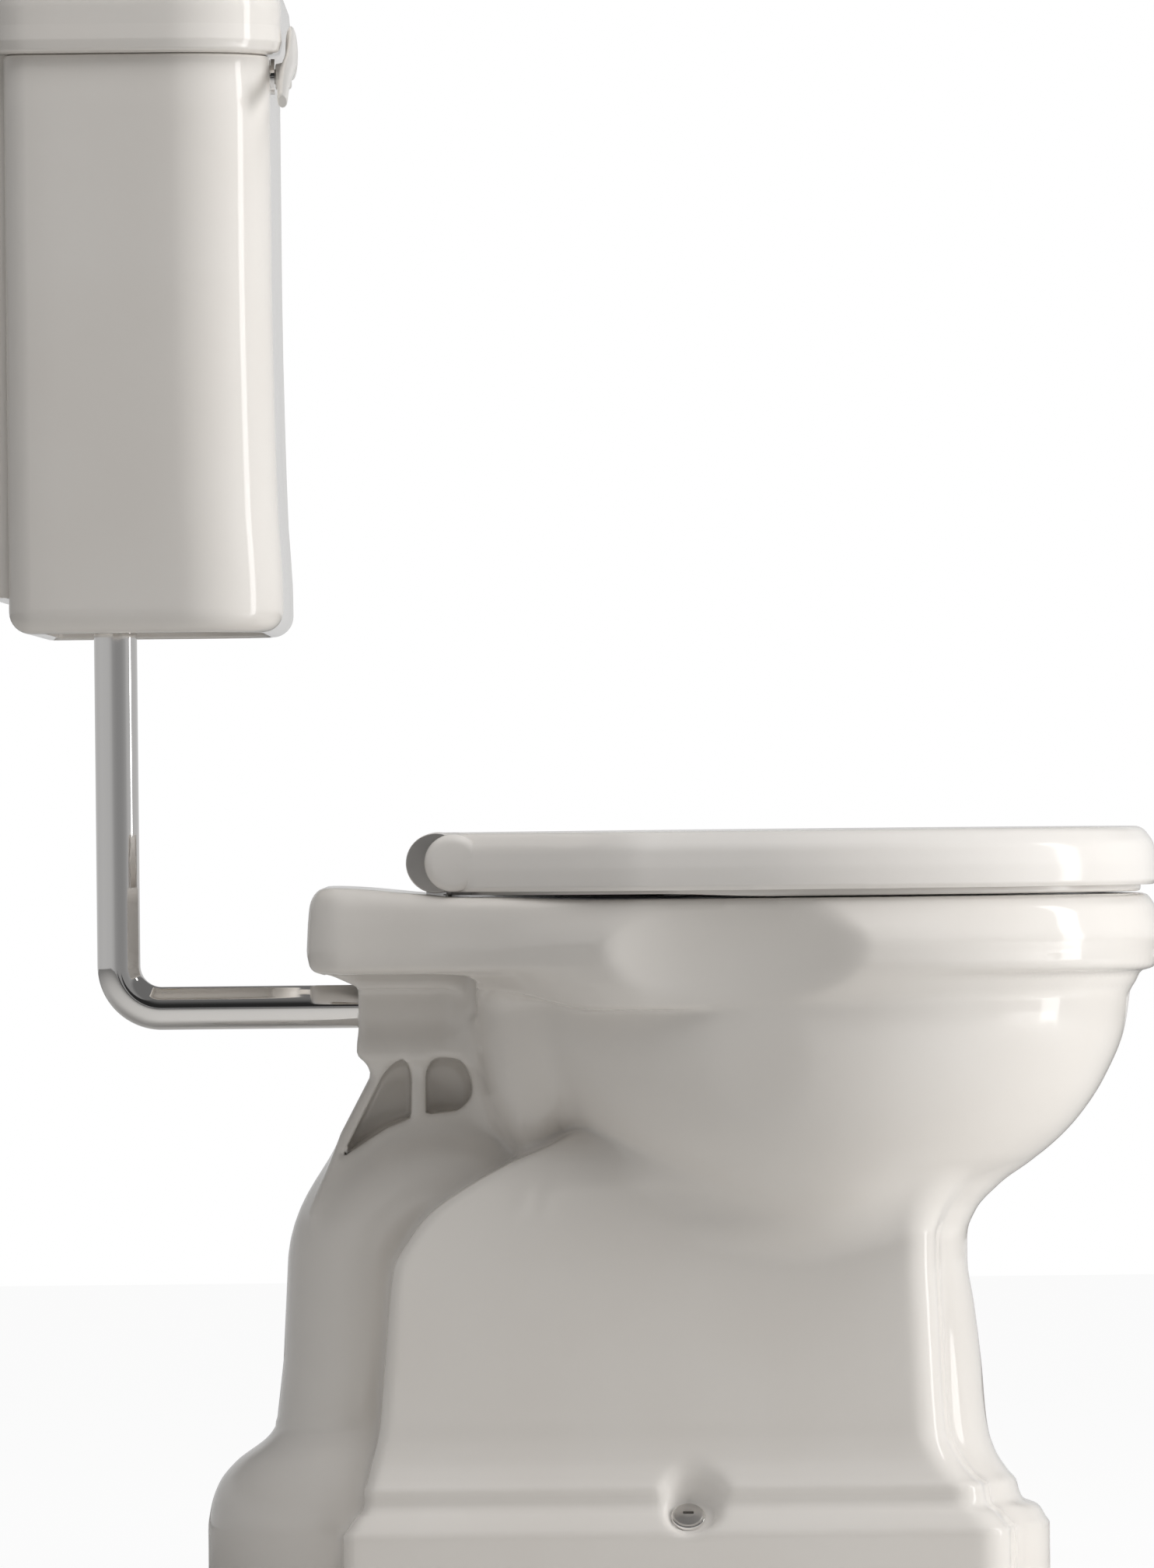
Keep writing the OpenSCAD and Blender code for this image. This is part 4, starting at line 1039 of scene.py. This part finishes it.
def grey_metal():
    """Steel of the screw heads and hinge discs, duller than the chrome; on the discs its dark grey is painted
    shade
    """
    mat = material("grey_steel", (0.55, 0.53, 0.51), 0.32, 0.8)
    varied_roughness(mat, 0.26, 0.42, 50.0)
    return mat


def brass():
    mat = material("plain_brass", (0.70, 0.50, 0.22), 0.3, 1.0)
    mottled(mat, (0.58, 0.40, 0.16), (0.74, 0.54, 0.25), 60.0)
    varied_roughness(mat, 0.22, 0.42, 45.0)
    return mat


def white_plastic():
    mat = material("moulded_plastic", (0.78, 0.78, 0.76), 0.4)
    mottled(mat, (0.74, 0.74, 0.71), (0.80, 0.80, 0.78), 30.0)
    bump(mat, 900.0, 0.00004, 0.4)
    return mat


def rubber(name, low, high):
    mat = material(name, high, 0.75)
    mottled(mat, low, high, 80.0)
    bump(mat, 700.0, 0.00006, 0.5)
    return mat


# World: white to the camera. To everything else it is a studio: walls round the horizon by azimuth in degrees
# from the camera's side, a dim ceiling, and a dark gap behind the camera with a thin pale slit at eye level
CAMERA_WHITE = 1.0
WALLS = [(-180, 0.62), (-150, 0.5), (-125, 0.42), (-84, 0.44), (-40, 0.42), (-27, 0.37), (-14, 0.27),
         (0, 0.24), (10, 0.23), (23, 0.23), (36, 0.25), (49, 0.30), (63, 0.42), (125, 0.45), (150, 0.52),
         (180, 0.62)]
CEILING, CEILING_FROM = 0.14, (0.26, 0.46)
GROUND, GROUND_FROM = 0.28, (0.5, 0.58)
GAP, GAP_HALF, GAP_SLIT, GAP_TOP, GAP_BOTTOM = 0.02, 0.16, (0.022, 0.04), (0.3, 0.75), (0.45, 0.6)


def math_node(tree, operation, *values):
    node = tree.nodes.new("ShaderNodeMath")
    node.operation = operation
    for socket, value in zip(node.inputs, values):
        if isinstance(value, (int, float)):
            socket.default_value = value
        else:
            tree.links.new(value, socket)
    return node.outputs["Value"]


def rise_node(tree, value, low, high):
    node = tree.nodes.new("ShaderNodeMapRange")
    node.interpolation_type = "SMOOTHSTEP"
    node.inputs["From Min"].default_value = low
    node.inputs["From Max"].default_value = high
    tree.links.new(value, node.inputs["Value"])
    return node.outputs["Result"]


def mix_value(tree, fraction, a, b):
    """a where the fraction is 0 and b where it is 1"""
    part = math_node(tree, "MULTIPLY", fraction, math_node(tree, "SUBTRACT", b, a))
    return math_node(tree, "ADD", a, part)


def add_world():
    world = bpy.data.worlds.new("world")
    bpy.context.scene.world = world
    world.use_nodes = True
    tree = world.node_tree
    tree.nodes.clear()
    place = tree.nodes.new("ShaderNodeTexCoord")
    split = tree.nodes.new("ShaderNodeSeparateXYZ")
    tree.links.new(place.outputs["Generated"], split.inputs[0])
    x, y, z = split.outputs
    turn = math_node(tree, "ARCTAN2", x, math_node(tree, "MULTIPLY", y, -1.0))
    share = math_node(tree, "ADD", math_node(tree, "DIVIDE", turn, 2 * math.pi), 0.5)
    ramp = tree.nodes.new("ShaderNodeValToRGB")
    ramp.color_ramp.elements.remove(ramp.color_ramp.elements[1])
    for k, (degrees, level) in enumerate(WALLS):
        place_on_ramp = degrees / 360 + 0.5
        stop = ramp.color_ramp.elements[0] if k == 0 else ramp.color_ramp.elements.new(place_on_ramp)
        stop.color = (level, level, level, 1)
    tree.links.new(share, ramp.inputs["Fac"])
    level = mix_value(tree, rise_node(tree, z, *CEILING_FROM), ramp.outputs["Color"], CEILING)
    below = rise_node(tree, math_node(tree, "MULTIPLY", z, -1.0), *GROUND_FROM)
    level = mix_value(tree, below, level, GROUND)
    aside = rise_node(tree, math_node(tree, "ABSOLUTE", turn), GAP_HALF, GAP_HALF + 0.05)
    slit = rise_node(tree, math_node(tree, "ABSOLUTE", z), *GAP_SLIT)
    over = rise_node(tree, z, *GAP_TOP)
    under = rise_node(tree, math_node(tree, "MULTIPLY", z, -1.0), *GAP_BOTTOM)
    gap = math_node(tree, "MULTIPLY", math_node(tree, "SUBTRACT", 1.0, aside), slit)
    for fade in (over, under):
        gap = math_node(tree, "MULTIPLY", gap, math_node(tree, "SUBTRACT", 1.0, fade))
    level = mix_value(tree, gap, level, GAP)
    path = tree.nodes.new("ShaderNodeLightPath")
    level = mix_value(tree, path.outputs["Is Camera Ray"], level, CAMERA_WHITE)
    background = tree.nodes.new("ShaderNodeBackground")
    background.inputs["Color"].default_value = (1, 1, 1, 1)
    tree.links.new(level, background.inputs["Strength"])
    out = tree.nodes.new("ShaderNodeOutputWorld")
    tree.links.new(background.outputs["Background"], out.inputs["Surface"])


def area_light(name, place, aim, width, height, power, mirrored=False):
    data = bpy.data.lights.new(name, "AREA")
    data.shape = "RECTANGLE"
    data.size, data.size_y = width, height
    data.energy = power
    obj = add_object(name, data)
    obj.location = place
    obj.rotation_euler = (Vector(aim) - Vector(place)).to_track_quat("-Z", "Y").to_euler()
    obj.visible_glossy = mirrored
    return obj


def add_lights():
    area_light("front_softbox", (2.3, -0.58, 0.8), (-0.1, -0.1, 0.5), 0.9, 1.9, 35)
    area_light("front_strip", (2.0, -0.22, 0.75), (-0.2, -0.2, 0.55), 0.32, 1.9, 5.6, mirrored=True)
    area_light("top_softbox", (0.3, -0.8, 2.8), (0.0, 0.0, 0.5), 1.6, 1.2, 29)
    area_light("side_softbox", (0.0, -1.7, 2.7), (0.0, 0.0, 0.42), 1.4, 1.0, 5)


FLOOR_HALF = 6.0
FLOOR_COLOUR = (0.85, 0.84, 0.82)
FLOOR_WHITENING = 0.95


def add_floor():
    verts = [(x * FLOOR_HALF, y * FLOOR_HALF, 0) for x, y in ((-1, -1), (1, -1), (1, 1), (-1, 1))]
    mesh = bpy.data.meshes.new("floor")
    mesh.from_pydata(verts, [], [(0, 1, 2, 3)])
    floor = add_object("floor", mesh)
    floor.data.materials.append(floor_material())


def floor_material():
    """Pale paint that the camera sees mostly as white, with a share of its shadows kept"""
    mat = material("floor_paint", FLOOR_COLOUR, 0.7)
    tree = mat.node_tree
    white = tree.nodes.new("ShaderNodeEmission")
    path = tree.nodes.new("ShaderNodeLightPath")
    mix = tree.nodes.new("ShaderNodeMixShader")
    share = math_node(tree, "MULTIPLY", path.outputs["Is Camera Ray"], FLOOR_WHITENING)
    tree.links.new(share, mix.inputs["Fac"])
    tree.links.new(tree.nodes["Principled BSDF"].outputs["BSDF"], mix.inputs[1])
    tree.links.new(white.outputs["Emission"], mix.inputs[2])
    tree.links.new(mix.outputs["Shader"], tree.nodes["Material Output"].inputs["Surface"])
    return mat


def finish_piece(obj, mat, body, slot, *replaced):
    obj.data.materials.clear()
    obj.data.materials.append(mat)
    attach(obj, body)
    if replaced:
        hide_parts(*replaced)


def dress_nodes(looks):
    """Gives each carried-over node the material of its slot"""
    slots = {part["node"]: part["material_slot"] for part in frame["record"]["subparts"]}
    for name, obj in nodes.items():
        mat = looks[slots[name]]
        obj.data.materials.clear()
        obj.data.materials.append(mat)


add_camera()
add_world()
add_lights()
add_floor()
china = glazed_china()
looks = {"china": china, "seat_white": gloss_seat(), "chrome": chrome(), "brass": brass(),
         "satin": satin_metal(), "steel": grey_metal(), "white_plastic": white_plastic(),
         "rubber": rubber("black_rubber", (0.02, 0.02, 0.02), (0.035, 0.035, 0.035)),
         "buffer": rubber("pale_rubber", (0.6, 0.59, 0.56), (0.68, 0.67, 0.64))}
dress_nodes(looks)
finish_piece(pan_piece(), china, "root", "china", "pan")
finish_piece(cistern_piece(), china, "root", "china", "cistern")
finish_piece(cistern_lid_piece(), china, "tank_lid", "china", "cistern_lid")
finish_piece(seat_lid_piece(), looks["seat_white"], "lid", "seat_white", "seat_lid")
# Dark grey discs on the roll's ends: painted shade for the shaded crescent there
for disc in roll_end_shade_disc_pieces():
    finish_piece(disc, looks["steel"], "lid", "seat_white", "seat_lid")
finish_piece(seat_ring_piece(), looks["seat_white"], "seat", "seat_white", "seat_ring")
finish_piece(flush_pipe_piece(), looks["chrome"], "root", "chrome", "flush_pipe")
finish_piece(lever_handle_piece(), looks["satin"], "lever", "chrome", "lever_handle", "lever_spindle")
screws, sleeves = floor_screw_pieces()
for screw, sleeve in zip(screws, sleeves):
    finish_piece(screw, looks["steel"], "root", "chrome", "floor_screws")
    finish_piece(sleeve, looks["chrome"], "root", "white_plastic", "screw_sleeves")
